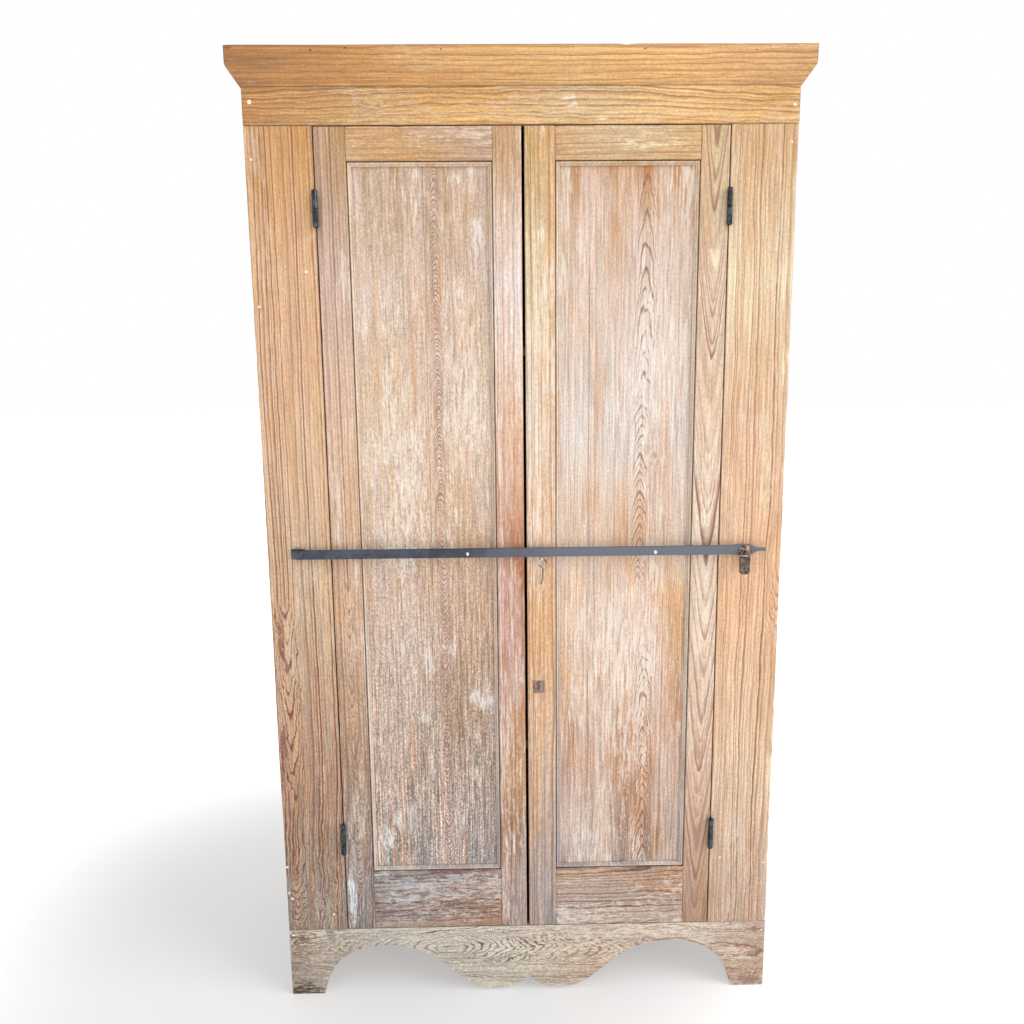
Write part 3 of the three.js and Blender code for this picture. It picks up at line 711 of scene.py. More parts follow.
sideLook = {
    "order": "yxz", "heart": (60, 40), "start": 900, "slope": 0.03, "squeeze": 0.85, "ringGap": 8,
    "ringDark": 0.5, "wander": 22, "streak": 0.45, "wash": 0.3, "residue": 0.2,
    "tones": [(0, "8f7a68"), (400, "b39274"), (1200, "cfa37a"), (2100, "c99a68")],
}
insideLook = {
    "slot": "inside_pine",
    "heart": (30, 50), "start": 900, "slope": 0.02, "ringGap": 8, "ringDark": 0.5, "wander": 22,
    "streakHex": "a9733f", "streak": 0.4, "wash": 0.15, "residue": 0.08, "roughness": 0.7,
    "tones": [(0, "8d6a48"), (1200, "9c754e"), (2160, "a87f55")],
}


sideSeams = [22.3, 178.0, 341.0, 491.7]      # mm behind the face; a side is three planks


def archHeights():
    # the lower edge of a side, from front to back, in mm behind the face
    front, back, foot, rise = sideSeams[0], sideSeams[-1], 85, 112
    middle = (front + back) / 2
    points = [(front, 0.2), (front + foot, 0.2)]
    points += bezier(points[-1], (front + foot + 8, 70), (front + foot + 50, rise), (middle, rise), 14)
    points += bezier(points[-1], (back - foot - 50, rise), (back - foot - 8, 70), (back - foot, 0.2), 14)
    return points + [(back, 0.2)]


def heightAt(points, where):
    for (a, p), (b, q) in zip(points, points[1:]):
        if a <= where <= b:
            return p + (q - p) * (where - a) / max(b - a, 1e-6)
    return points[-1][1]


def makeSides():
    arch = archHeights()
    for name, side in (("left", -1), ("right", 1)):
        node = "side_panel_" + name
        low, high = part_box(node)
        material = pine("waxed_" + node, {**sideLook, "seed": 20 + side, "heart": (40 * side, side * 620)},
                        low, high)
        planks = []
        for index, (near, far) in enumerate(zip(sideSeams, sideSeams[1:])):
            far -= 0.5 if index < 2 else 0
            lower = [(near, heightAt(arch, near))]
            lower += [p for p in arch if near < p[0] < far] + [(far, heightAt(arch, far))]
            outline = [(faceY / mm + u, v) for u, v in lower]
            outline += [(faceY / mm + far, high[2] / mm), (faceY / mm + near, high[2] / mm)]
            planks.append(plate(f"{name}_side_{index}", [outline], low[0], high[0], 1.0 * mm,
                                material, across="y"))
        keep(joined(name + "_side_planks", planks), "case", "frame_pine", node)


makeSides()


def makeInside():
    for index in range(1, 6):
        board(f"back_board_{index}",
              {**insideLook, "corners": (1.0, 1.0, 2.5, 2.5), "seed": 30 + index,
               "heart": (-500 + 230 * index, 40 + 8 * index)}, "rough_", "_plank")
    low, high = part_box("top_board")
    look = {**insideLook, "order": "yzx", "toneAxis": "x", "seed": 41, "heart": (0, 2110),
            "tones": [(-600, "98744f"), (600, "a88158")]}
    material = pine("rough_top", look, low, high)
    planks = []
    wide = (high[1] - low[1]) / 4
    for index in range(4):
        near, far = low[1] + wide * index, low[1] + wide * (index + 1) - 0.6 * mm
        section = rectangle(near, far, low[2], high[2], (0.8, 0.8, 1.4, 1.4))
        planks.append(loft(f"top_{index}", section, "yzx", low[0], high[0], material, 45 + index))
    keep(joined("top_planks", planks), "case", "inside_pine", "top_board")
    for seed, node in enumerate(("bottom_board", "shelf_lower", "shelf_middle", "shelf_upper"), 50):
        heart = (30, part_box(node)[1][2] / mm - 60)
        board(node, {**insideLook, "corners": (1.0, 1.0, 1.0, 2.5), "order": "yzx", "toneAxis": "x",
                     "seed": seed, "heart": heart, "tones": [(-560, "a67d53"), (560, "b08860")]},
              kind="_plank")
    for place in ("lower", "middle", "upper"):
        for hand in ("left", "right"):
            node = f"shelf_cleat_{place}_{hand}"
            low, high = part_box(node)
            look = {**insideLook, "order": "zxy", "seed": 60, "heart": (high[2] / mm, 500)}
            material = pine("waxed_" + node, look, low, high)
            section = rectangle(low[0], high[0], low[2], high[2], (2.0, 2.0, 1.0, 1.0))
            keep(loft(node + "_strip", section, "xzy", low[1], high[1], material, 60),
                 "case", "inside_pine", node)


makeInside()


print("doors")

panelSeam = {"left": -212, "right": 143}     # mm; where the two boards of a panel meet
doorPine = {"edgeDirtAndShade": 0.15}
railPine = {"order": "zyx", "toneAxis": "x"}
# The left-hand boards' tones are darker than the right-hand ones: painted shade, as light falls from the
# right.
doorLooks = {
    "door_left_hinge_stile": {
        "seed": 70, "heart": (-560, 50), "slope": 0.01, "ringGap": 6.8, "ringDark": 0.75,
        "ringHex": "6f4a3e", "wander": 6, "footRipple": 5.0, "footContrast": 1.9, "grit": 0.25,
        "drawn": 2.2, "wash": 0.25, "flecks": (0.4, 0.0),
        "flames": [(-404, 16, 40, 6.0, 560, 1060, 0.7), (-405, 22, 16, 4.0, 240, 620, 0.8)],
        "spots": [(-423, 262, 14, 5, "dfe7e6", 1.0), (-432, 1880, 9, 16, "86705f", 0.65),
                  (-420, 420, 6, 12, "cfd3d2", 0.6)],
        "tones": [(240, "888685"), (600, "ac896b"), (990, "cca277"), (1360, "dab391"), (1700, "cdb09e"),
                  (1980, "b58c5b")],
    },
    "door_left_meeting_stile": {
        "seed": 71, "heart": (60, 40), "slope": 0.01, "ringGap": 8, "ringDark": 0.5, "ringHex": "8f5a45",
        "wander": 10, "ripple": 2.6, "footContrast": 1.4, "grit": 0.25, "drawn": 2.0,
        "streakHex": "d38f58", "streak": 0.5, "washHex": "ecdcd6", "flecks": (0.3, 0.0),
        "spots": [(-50, 395, 2.2, 26, "f4ebe0", 1.0), (-33, 400, 2.0, 24, "f4ebe0", 1.0)],
        "tones": [(240, "645342"), (600, "bc9064"), (990, "a4572a"), (1360, "daa87a"), (1700, "e5ded6"),
                  (1980, "c09b6b")],
    },
    "door_right_meeting_stile": {
        "seed": 72, "heart": (-40, 46), "slope": 0.01, "ringGap": 9, "ringDark": 0.55, "wander": 10,
        "footContrast": 1.3, "grit": 0.25, "drawn": 2.0, "streakHex": "dba055", "streak": 0.55,
        "wash": 0.2, "residueHex": "f6f0e4", "residue": 0.45, "flecks": (0.3, 0.1),
        "spots": [(38, 1790, 9, 3, "f4ead2", 0.8), (48, 1470, 8, 2.0, "ded6d0", 0.7)],
        "tones": [(240, "a39b99"), (600, "d0b399"), (990, "e2b07e"), (1360, "ecdac6"), (1700, "e5ceab"),
                  (1980, "c8a160")],
    },
    "door_right_hinge_stile": {
        "seed": 73, "heart": (408, 9), "taper": 0.12, "ringGap": 8.5, "ringDark": 0.95,
        "ringHex": "8a5a50", "figure": 22, "besideFigure": 0.6, "wander": 9, "ripple": 1.4, "grit": 0.26,
        "drawn": 2.0, "wash": 0.15, "residue": 0.35,
        "spots": [(412, 1745, 10, 2.2, "f2e2c4", 0.75), (404, 1180, 9, 2.4, "f2dfc0", 0.6),
                  (395, 880, 12, 3, "f0e0cc", 0.6)],
        "tones": [(240, "a98668"), (600, "dcba9f"), (990, "e7d4bd"), (1360, "e2c6a6"), (1700, "dbc3aa"),
                  (1980, "cbb07f")],
    },
    "door_left_top_rail": {
        "seed": 74, "heart": (1900, 40), "ringGap": 9, "ringDark": 0.45, "drawn": 1.2, "streak": 0.5,
        "washHex": "cdbdb2", "wash": 0.4,
        "tones": [(-371, "c9a377"), (-220, "c79c62"), (-64, "a68762")],
    },
    "door_right_top_rail": {
        "seed": 75, "heart": (2080, 40), "ringGap": 9, "ringDark": 0.45, "drawn": 1.2,
        "washHex": "e2cdb0", "wash": 0.3, "residueHex": "f0e2bb", "residue": 0.55,
        "spots": [(1972, 250, 12, 4, "f2e4b8", 0.6), (1978, 330, 9, 3, "f2e4c0", 0.5)],
        "tones": [(68, "c69866"), (220, "c9ac84"), (376, "c99f66")],
    },
    "door_left_bottom_rail": {
        "seed": 76, "heart": (330, 12), "start": -420, "slope": 0.05, "ringGap": 8.0, "ringDark": 1.0,
        "ringHex": "5c3d33", "wander": 20, "ripple": 4.5, "grit": 0.45, "drawn": 0.8, "washHex": "b9b4b6",
        "residueHex": "dcdcda", "residue": 0.55, "flecks": (0.5, 0.5),
        "spots": [(290, -300, 16, 3.0, "b9c0c8", 0.55), (300, -180, 14, 4.0, "b4bcc4", 0.5)],
        "tones": [(-371, "8f8886"), (-64, "a07966")],
    },
    "door_right_bottom_rail": {
        "seed": 77, "heart": (340, 12), "start": 0, "slope": 0.05, "ringGap": 8.0, "ringDark": 0.95,
        "ringHex": "6a4636", "wander": 18, "ripple": 4.0, "grit": 0.45, "drawn": 0.8, "washHex": "c4bcba",
        "residue": 0.5, "flecks": (0.5, 0.5),
        "tones": [(68, "c6ab92"), (376, "b6855f")],
    },
    "door_left_panel": {
        "seed": 78, "heart": (-480, 60), "slope": 0.02, "ringGap": 8, "ringDark": 0.28,
        "ringHex": "8f6654", "wander": 10, "footContrast": 2.3, "fibre": 0.4, "grit": 0.36, "drawn": 1.2,
        "streakHex": "d3a273", "streak": 0.75, "washHex": "d7c5bb", "wash": 0.7, "residue": 0.5,
        "flecks": (1.0, 0.1),
        "knots": [(-188, 640, 6)],
        "flames": [(-190, 14, 9, -2.4, 1150, 2100, 0.9), (-187, 15, 10, 2.6, 200, 1180, 0.95)],
        "spots": [(-148, 1908, 16, 0.8, "f0f2ea", 0.95), (-198, 1899, 8, 1.2, "e9e9de", 0.85),
                  (-128, 1932, 13, 0.6, "7d6a58", 0.6), (-98, 1790, 14, 2.8, "ece6e0", 0.75),
                  (-318, 1540, 5, 75, "cf9f68", 0.6), (-241, 1490, 7, 15, "d2905c", 0.75),
                  (-268, 640, 7, 11, "c07f52", 0.65), (-104, 755, 34, 0.7, "e9e5e0", 0.8),
                  (-330, 706, 18, 1.2, "e4dfdc", 0.75), (-238, 706, 14, 1.2, "e4dfdc", 0.75),
                  (-300, 1010, 9, 14, "d9b58e", 0.5), (-227, 845, 16, 2.0, "e2ddd8", 0.65),
                  (-168, 872, 14, 1.8, "e6e2df", 0.65), (-337, 405, 16, 2.2, "dde3e3", 0.8),
                  (-290, 455, 40, 0.9, "d6d5d0", 0.55)],
        "tones": [(330, "8d9194"), (600, "9b8164"), (990, "c6a181"), (1360, "dabe9f"), (1700, "ceb7a2"),
                  (1940, "ae874a")],
    },
    "door_right_panel": {
        "seed": 79, "heart": (420, 30), "ringGap": 9, "ringDark": 0.3, "ringHex": "8a6257", "wander": 5,
        "footContrast": 1.4, "fibre": 0.4, "grit": 0.26, "drawn": 2.0, "streakHex": "d39d6c",
        "streak": 0.7, "washHex": "e4d4cb", "wash": 0.62, "residue": 0.5, "flecks": (0.5, 0.15),
        "knots": [(290, 1318, 5)],
        "flames": [(264, 24, 46, -6.5, 1440, 1960, 1.0), (258, 20, 20, -2.8, 1000, 1480, 0.9),
                   (273, 26, 30, -5.0, 300, 900, 1.4)],
        "spots": [(92, 1905, 14, 3, "e9dfcb", 0.7), (126, 1740, 12, 7, "e9e2de", 0.6),
                  (372, 1900, 12, 3, "e9dfcb", 0.6), (290, 1315, 12, 0.9, "e6dccb", 0.5)],
        "tones": [(330, "978072"), (600, "c08f6a"), (990, "e1b282"), (1360, "dcd1c8"), (1700, "d1b9a3"),
                  (1940, "bc823e")],
    },
}
grooveFront, grooveBack, grooveDeep = 9 * mm, 18 * mm, 9 * mm


def grooved(edge, into, wide, quirk):
    # A door member's section: (across, behind the face, radius); the groove holds the panel.
    bed = wide - grooveDeep
    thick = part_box("door_left_top_rail")[1][1] - faceY
    soft = 0.9 * mm
    front = [(0.0, 0.0, 1.6 * mm), (wide, 0.0, soft)]
    if quirk:
        front = [(0.0, 0.0, 3.4 * mm), (11.4 * mm, 0.0, 0.8 * mm), (12.3 * mm, 2.2 * mm, 0.3 * mm),
                 (13.2 * mm, 0.0, 0.6 * mm), (wide, 0.0, soft)]
    rest = [(wide, grooveFront, 0.3 * mm), (bed, grooveFront, 0.2 * mm), (bed, grooveBack, 0.2 * mm),
            (wide, grooveBack, 0.3 * mm), (wide, thick, soft), (0.0, thick, 1.2 * mm)]
    return [(edge + into * u, faceY + v, radius) for u, v, radius in front + rest]


def doorMember(hand, part):
    node = f"door_{hand}_{part}"
    low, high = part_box(node)
    look = {**doorPine, **(railPine if "rail" in part else {}), **doorLooks[node]}
    material = pine("stripped_" + node, look, low, high)
    side = -1 if hand == "left" else 1
    if "stile" in part:
        outer = (part == "hinge_stile") == (side > 0)     # the groove is on the other side
        edge, into = (high[0], -1) if outer else (low[0], 1)
        section = grooved(edge, into, high[0] - low[0], node == "door_right_meeting_stile")
        piece = loft(node + "_wood", section, "xyz", low[2], high[2], material, look["seed"])
    else:
        panelLow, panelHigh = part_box(f"door_{hand}_panel")
        ends = panelLow[0] + grooveDeep, panelHigh[0] - grooveDeep
        edge, into = (high[2], -1) if part == "top_rail" else (low[2], 1)
        turnedSection = [(v, u, radius) for u, v, radius in grooved(edge, into, high[2] - low[2], False)]
        piece = loft(node + "_wood", turnedSection, "yzx", ends[0], ends[1], material, look["seed"])
    keep(piece, "door_" + hand, "door_pine", node)


def doorPanel(hand):
    node = f"door_{hand}_panel"
    low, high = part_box(node)
    look = doorLooks[node]
    material = pine("stripped_" + node, look, low, high)
    bounds = [low[0], panelSeam[hand] * mm, high[0]]
    boards = []
    for index, (near, far) in enumerate(zip(bounds, bounds[1:])):
        far -= 0.25 * mm * (1 - index)
        section = rectangle(near, far, low[1], high[1], (0.6, 0.6, 0.6, 0.6))
        boards.append(loft(f"{node}_{index}", section, "xyz", low[2], high[2], material,
                           look["seed"] + index, sag=0.12 * mm, worn=0.6))
    keep(joined(node + "_boards", boards), "door_" + hand, "panel_pine", node)


# The blue-grey edge colour is painted shade: the dark line in the gap where the bead meets the frame.
beadLook = {
    "seed": 90, "ringGap": 5, "ringDark": 0.2, "streakHex": "cba27a", "streak": 0.3, "washHex": "e2d5c8",
    "residueHex": "f2eae0", "residue": 0.35, "edgeDirtAndShadeHex": "565c66", "edgeDirtAndShade": 0.8,
    "crest": (2.2, "efe6da", 0.8), "bump": 0.4,
    "tones": [(330, "a0989a"), (990, "cdb49e"), (1700, "d8bfa6"), (1940, "cfa574")],
}


def doorBead(hand):
    # a planted moulding: a round, a step and a smaller round, mitred at the corners
    node = f"door_{hand}_bead"
    low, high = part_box(node)
    # (in from the edge, behind the crest, radius) in mm; the two ends lie on the panel
    shape = [(0.9, 1.4, 1.2), (2.6, 0, 1.6), (4.6, 0.1, 1.4), (5.9, 2.4, 0.5), (6.5, 3.0, 0.5),
             (7.3, 2.2, 0.8), (8.8, 2.4, 0.8), (9.6, 4.2, 0.5)]
    crest, foot = low[1], high[1]
    profile = [(u * mm, crest + v * mm, radius * mm) for u, v, radius in shape]
    profile = [(profile[0][0], foot, 0.1 * mm)] + profile + [(profile[-1][0], foot, 0.1 * mm)]
    material = pine("painted_" + node, beadLook, low, high)
    parts = []
    for index in range(4):
        axis, order, run = (0, "xyz", 2) if index < 2 else (2, "zyx", 0)
        edge, into = (high[axis], -1) if index % 2 else (low[axis], 1)
        strip = loft(f"{node}_{index}", profile, order, low[run], high[run], material, 92 + index,
                     worn=0.8, mitre=(1, -1), sag=0.05 * mm)
        for vert in strip.data.vertices:
            vert.co[axis] = edge + into * vert.co[axis]
        parts.append(strip)
    piece = joined(node + "_moulding", parts)
    work = bmesh.new()
    work.from_mesh(piece.data)
    bmesh.ops.recalc_face_normals(work, faces=work.faces)
    work.to_mesh(piece.data)
    work.free()
    keep(piece, "door_" + hand, "painted_bead", node)


for hand in ("left", "right"):
    for part in ("hinge_stile", "meeting_stile", "top_rail", "bottom_rail"):
        doorMember(hand, part)
    doorPanel(hand)
    doorBead(hand)


print("ironwork")

# Hand-forged iron with old black wax on it: blue-black, brown where it has rusted, and on the bar
# paler towards its right end.
ironLooks = {
    "bar_iron": {"hex": "4b505b", "darkHex": "3a3e47", "rustHex": "5a5350", "rust": 0.25, "roughness": 0.45,
                 "blotch": 60, "bump": 0.15, "rightEndHex": "62666f"},
    "hinge_iron": {"hex": "4a4e56", "darkHex": "2b2d31", "rustHex": "33291f", "rust": 0.15,
                   "roughness": 0.3, "blotch": 14, "bump": 0.12},
    "lock_iron": {"hex": "7a726a", "darkHex": "453e39", "rustHex": "6e5039", "rust": 0.5,
                  "roughness": 0.5, "blotch": 8, "bump": 0.35},
    "hook_iron": {"hex": "8a7b6c", "darkHex": "43342a", "rustHex": "6f4a31", "rust": 0.6,
                  "roughness": 0.6, "blotch": 5, "bump": 0.35},
}


def forgedIron(name, look, specks=()):
    material, add = newMaterial(name)
    place = add("TexCoord").outputs["Object"]
    blotch = add("TexNoise", None, place, 1000 / look["blotch"], 5.0, 0.6)
    hammer = add("TexNoise", None, place, 1000 / 11, 2.0)
    pits = add("TexNoise", None, place, 1000 / 2.2, 4.0, 0.7)
    dark = add("MapRange", "SMOOTHSTEP", blotch, 0.4, 0.62)
    colour = add("Mix", "RGBA", dark, look["darkHex"], look["hex"])
    # paler towards the bar's right end
    if "rightEndHex" in look:
        end = add("SeparateXYZ", None, place)
        end = add("MapRange", "SMOOTHSTEP", end, -200 * mm, 120 * mm)
        colour = add("Mix", "RGBA", end, colour, look["rightEndHex"])
    channels = add("SeparateColor", None, blotch.outputs["Color"])
    rust = add("Math", "MULTIPLY_ADD", pits, 0.5, channels.outputs[1])
    rust = add("MapRange", "SMOOTHSTEP", rust, 0.74, 0.9, 0.0, look["rust"])
    colour = add("Mix", "RGBA", rust, colour, look["rustHex"])
    for x, z, radius in specks:                           # drops of old paint
        mask = spotMask(add, place, pits, x, z, radius, 1.2)
        colour = add("Mix", "RGBA", mask, colour, "d9dadb")
        rust = add("Math", "MAXIMUM", rust, mask)
    metal = add("MapRange", None, rust, 0.0, 1.0, 0.85, 0.0)
    rough = add("MapRange", None, pits, 0.3, 0.7, look["roughness"] - 0.08, look["roughness"] + 0.15)
    height = add("Math", "MULTIPLY_ADD", hammer, 2.0, pits)
    bump = add("Bump", Height=height, Strength=look["bump"], Distance=0.5 * mm)
    shader = add("BsdfPrincipled", Base_Color=colour, Metallic=metal, Roughness=rough, Normal=bump)
    add("OutputMaterial", Surface=shader)
    return material


barIron = forgedIron("forged_bar", ironLooks["bar_iron"], specks=[(-130, 1104, 3.2), (291, 1103, 3.4)])
hingeIron = forgedIron("blacked_hinge", ironLooks["hinge_iron"])
lockIron = forgedIron("rusty_lock", ironLooks["lock_iron"])
hookIron = forgedIron("painted_hook", ironLooks["hook_iron"],
                      specks=[(33, 1081, 6), (40, 1075, 6), (37, 1089, 4)])


def makeHinge(hand, place):
    # loose-joint butts: the lower knuckle and the pin stay on the case, the upper one lifts off
    side = -1 if hand == "left" else 1
    low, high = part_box(f"hinge_{hand}_{place}_case_leaf")
    height = (low[2] + high[2]) / 2
    half = (high[2] - low[2]) / 2 / mm
    pinFromMiddle = 438
    y = facing(-6.3)
    centre = (side * pinFromMiddle * mm, y, height)
    radius = 5.9
    # each knuckle from its outer end to the joint, and the pin through both
    knuckle = [(radius - 3.4, half), (radius - 1.6, half), (radius - 0.5, half - 0.7), (radius, half - 2.0),
               (radius, 1.1), (radius - 0.7, 0.35), (radius - 3.3, 0.3)]
    lower = turned("lower_knuckle", [(r, -h) for r, h in knuckle], centre, "z", hingeIron)
    upper = turned("upper_knuckle", knuckle[::-1], centre, "z", hingeIron)
    profile = [(0.05, -half - 0.1), (2.0, -half - 0.1), (2.4, -half + 0.6), (2.4, half), (2.3, half + 0.7),
               (1.5, half + 1.3), (0.05, half + 1.45)]
    pin = turned("pin", profile, centre, "z", hingeIron, 20)
    bottom, top, split = height - half * mm, height + half * mm, 0.4 * mm
    leaves = (("case_leaf", lower, 1, "case", (bottom, height - split)),
              ("door_leaf", upper, -1, "door_" + hand, (height + split, top)))
    thin = {"worn": 0, "sag": 0, "endRound": 0.3 * mm}
    for name, barrel, into, body, webEnds in leaves:
        node = f"hinge_{hand}_{place}_{name}"
        near = pinFromMiddle + 0.3 * into
        u0, u1 = sorted((side * near * mm, side * (near + 1.7 * into) * mm))
        leaf = loft("leaf", rectangle(u0, u1, facing(0.2), facing(18), (0.3, 0.3, 0.4, 0.4)), "xyz",
                    bottom, top, hingeIron, 3, **thin)
        web = loft("web", rectangle(u0, u1, y, facing(0.9), (0.2, 0.2, 0.2, 0.2)), "xyz",
                   *webEnds, hingeIron, 3, **thin)
        keep(joined(node + "_iron", [barrel, leaf, web]), body, "hinge_iron", node)
    keep(joined(f"hinge_{hand}_{place}_rod", [pin]), "case", "hinge_iron", f"hinge_{hand}_{place}_pin")


for hand in ("left", "right"):
    for place in ("lower", "upper"):
        makeHinge(hand, place)

# mm; left is the bar's end, slot holds the middles of the slot's round ends, front and back are
# behind the face
barDims = {"half": 11, "plateHalf": 13, "tailHalf": 4.5, "left": -524, "rivet": -506,
           "slot": (489.6, 499.4), "front": -18, "back": -13}
barHeight = sum(corner[2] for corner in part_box("security_bar")) / 2 / mm


def wavered(points, amount, seed):
    # a forged outline isn't quite straight; amount is in mm
    moved = []
    for u, v in points:
        shift = noise.noise_vector(Vector((u * 0.021 + seed, v * 0.09, seed * 3.1))) * amount
        moved.append((u + shift.x * 0.3, v + shift.y))
    return moved


def makeBar():
    d, z = barDims, barHeight
    half, plateHalf, tail = d["half"] - 0.4, d["plateHalf"] - 0.3, d["tailHalf"]
    straight = [d["left"] + 11 + i * (462 - d["left"] - 11) / 60 for i in range(61)]
    lower = [(x, z - half) for x in straight]
    lower += bezier(lower[-1], (468, z - half), (473, z - plateHalf), (480, z - plateHalf), 6)
    lower += bezier((480, z - plateHalf), (494, z - plateHalf), (503, z - plateHalf), (509, z - 10.5), 6)
    lower += bezier((509, z - 10.5), (515, z - 8), (517, z - tail), (524, z - tail + 0.2), 6)
    lower += [(532, z - tail + 0.9), (534, z - tail + 0.3), (539, z - tail + 0.3), (540.4, z - tail + 1.5)]
    upper = [(x, 2 * z - v) for x, v in reversed(lower)]
    left = arc((d["left"] + 11, z), half, 90, 270, 14)[1:-1]
    outline = wavered(lower + upper + left, 0.45, 4.2)
    slot = arc((d["slot"][1], z), 8.5, -90, 90, 9) + arc((d["slot"][0], z), 8.5, 90, 270, 9)
    hole = arc((d["rivet"], z), 3.2, 0, 342, 19)
    front, back = facing(d["front"]), facing(d["back"])
    strap = plate("strap", [outline, slot, hole], front, back, 1.3 * mm, barIron)
    keep(joined("security_bar_iron", [strap]), "bar", "bar_iron", "security_bar")
    dome = [(0.05, -1.5), (3.8, -1.2), (4.3, -0.8), (4.3, -0.2), (3.0, -0.15), (2.9, 7.0), (8.7, 7.1),
            (9.0, 7.5), (8.6, 8.7), (7.4, 9.8), (5.6, 10.6), (3.2, 11.0), (0.05, 11.15)]
    rivet = turned("rivet", dome, (d["rivet"] * mm, facing(-11), z * mm), "y", barIron)
    keep(joined("bar_rivet_iron", [rivet]), "bar", "bar_iron", "bar_rivet")


makeBar()

# the strap hinge behind the rivet keeps its shape; it only needs its finish
for node in ("bar_hinge_leaf", "bar_bracket", "bar_hinge_pin"):
    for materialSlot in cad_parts[node].material_slots:
        materialSlot.material = barIron


def path3(points, y):
    return [(x * mm, y, z * mm) for x, z in points]


def makeLock():
    x, z = 491, barHeight
    # the staple: two legs through the stile and a crown in front, its corners bent tight
    crown, half, bend = -29.75, 6, 3
    legs = [(24 - i * 6, -half) for i in range(9)]
    corner = [(crown + bend - bend * math.sin(t), -half + bend - bend * math.cos(t))
              for t in (math.pi / 12 * i for i in range(7))]
    lower = legs + corner
    whole = lower + [(y, -v) for y, v in reversed(lower)]
    staple = rod("staple", [(x * mm, facing(y), (z + v) * mm) for y, v in whole], 2.2 * mm, lockIron)
    keep(joined("lock_staple_iron", [staple]), "case", "lock_iron", "lock_staple")
    # the padlock hangs from the crown's lower bend
    depth = facing(-24.5)
    bow, thick = 9.5, 2.25
    bowZ = z - half + 2.25 + 0.2 + thick - bow
    heel = (x + bow, z - 20)
    line = [(x - bow, z - 24), (x - bow, z - 20), (x - bow, bowZ - 1)]
    line += arc((x, bowZ), bow, 180, 0, 14)
    line += [(x + bow, bowZ - 1), (x + bow, z - 18), heel]
    bowRod = rod("bow", path3(line, depth), thick * mm, lockIron)
    eyeProfile = [(1.5, -2.1), (2.9, -2.1), (3.2, -1.8), (3.2, 1.8), (2.9, 2.1), (1.5, 2.1)]
    eye = turned("eye", eyeProfile, (heel[0] * mm, depth, heel[1] * mm), "y", lockIron, 20)
    keep(joined("padlock_bow", [bowRod, eye]), "shackle", "lock_iron", "padlock_shackle")
    top, bottom, wide = z - 16, z - 54, 12
    front, back = depth - 6 * mm, depth + 6 * mm
    right = [(x + wide - 7, bottom)]
    right += bezier(right[-1], (x + wide - 2.2, bottom), (x + wide - 1.0, bottom + 2.5),
                    (x + wide - 0.9, bottom + 8), 7)
    right += [(x + wide - 0.2, top - 9), (x + wide, top - 3)]
    right += bezier(right[-1], (x + wide, top - 1), (x + wide - 0.6, top), (x + wide - 2.5, top), 4)
    outline = wavered(right + [(2 * x - u, v) for u, v in reversed(right)], 0.25, 8.4)
    shell = plate("shell", [outline], front + 0.3 * mm, back, 2.0 * mm, lockIron)
    rivet = [(0.05, -0.6), (1.3, -0.55), (1.7, -0.2), (1.7, 0.6), (0.05, 0.6)]
    dots = [turned(f"dot_{i}", rivet, (u * mm, front + 0.2 * mm, v * mm), "y", hingeIron, 16)
            for i, (u, v) in enumerate(((x - 2.5, z - 25), (heel[0], heel[1])))]
    cover = plate("cover", [[(x - 2.6, z - 37), (x - 2.2, z - 45), (x, z - 46.5), (x + 2.2, z - 45),
                             (x + 2.6, z - 37), (x, z - 35.5)]], front - 0.3 * mm, front + 0.9 * mm,
                  0.4 * mm, lockIron)
    keep(joined("padlock_shell", [shell, cover] + dots), "padlock", "lock_iron", "padlock_body")


makeLock()


def makeHook():
    x, y, z = 37, facing(-5.6), 1088.3
    eye, wire, loop = 4, 1.2, 9
    turns = [2 * math.pi * i / 22 for i in range(23)]
    ring = [(x * mm, y + eye * mm * math.sin(t), (z - eye * math.cos(t)) * mm) for t in turns[:-1]]
    ringRod = rod("eye_ring", ring + [ring[0]], 1.15 * mm, hookIron, taper=2)
    shank = rod("eye_shank", [(x * mm, facing(-2.4 + 5 * i), z * mm) for i in range(4)], 1.35 * mm,
                hookIron)
    keep(joined("hook_eye_wire", [ringRod, shank]), "door_right", "hook_iron", "hook_eye")
    hang = z - eye
    centre = hang + wire + 1.25 + 0.15 - loop
    tilt = math.radians(-5.4)
    line = [(loop * math.sin(t), centre - loop * math.cos(t)) for t in turns]
    tail = [(0.5, centre - loop)] + bezier((0.5, centre - loop), (-0.8, centre - loop - 12),
                                           (-3, centre - loop - 24), (-6.5, centre - loop - 37), 10)
    tail += [(-8.2, centre - loop - 38.2), (-10, centre - loop - 38.5)]

    def hung(points):
        # turned about the eye, as it hangs
        spots = []
        for u, v in points:
            dz = v - hang
            spots.append(((x + u * math.cos(tilt) + dz * math.sin(tilt)) * mm, y,
                          (hang + dz * math.cos(tilt) - u * math.sin(tilt)) * mm))
        return spots

    ring = rod("hook_ring", hung(line), 1.2 * mm, hookIron, taper=2)
    leg = rod("hook_leg", hung(tail), 1.45 * mm, hookIron)
    keep(joined("latch_hook_wire", [ring, leg]), "hook", "hook_iron", "latch_hook")


makeHook()


print("nails and patches")

putty = {"hex": "e9dfc8", "darkHex": "c9b896", "roughness": 0.75, "blotch": 3}


def puttyFill(name, look):
    # filler and old paint: matt, slightly crumbly
    material, add = newMaterial(name)
    place = add("TexCoord").outputs["Object"]
    grit = add("TexNoise", None, place, 1000 / look["blotch"], 4.0, 0.7)
    shade = add("MapRange", "SMOOTHSTEP", grit, 0.35, 0.65)
    colour = add("Mix", "RGBA", shade, look["darkHex"], look["hex"])
    bump = add("Bump", Height=grit, Strength=0.4, Distance=0.3 * mm)
    shader = add("BsdfPrincipled", Base_Color=colour, Roughness=look["roughness"], Normal=bump, IOR=1.5)
    add("OutputMaterial", Surface=shader)
    return material


fillMaterial = puttyFill("nail_putty", putty)

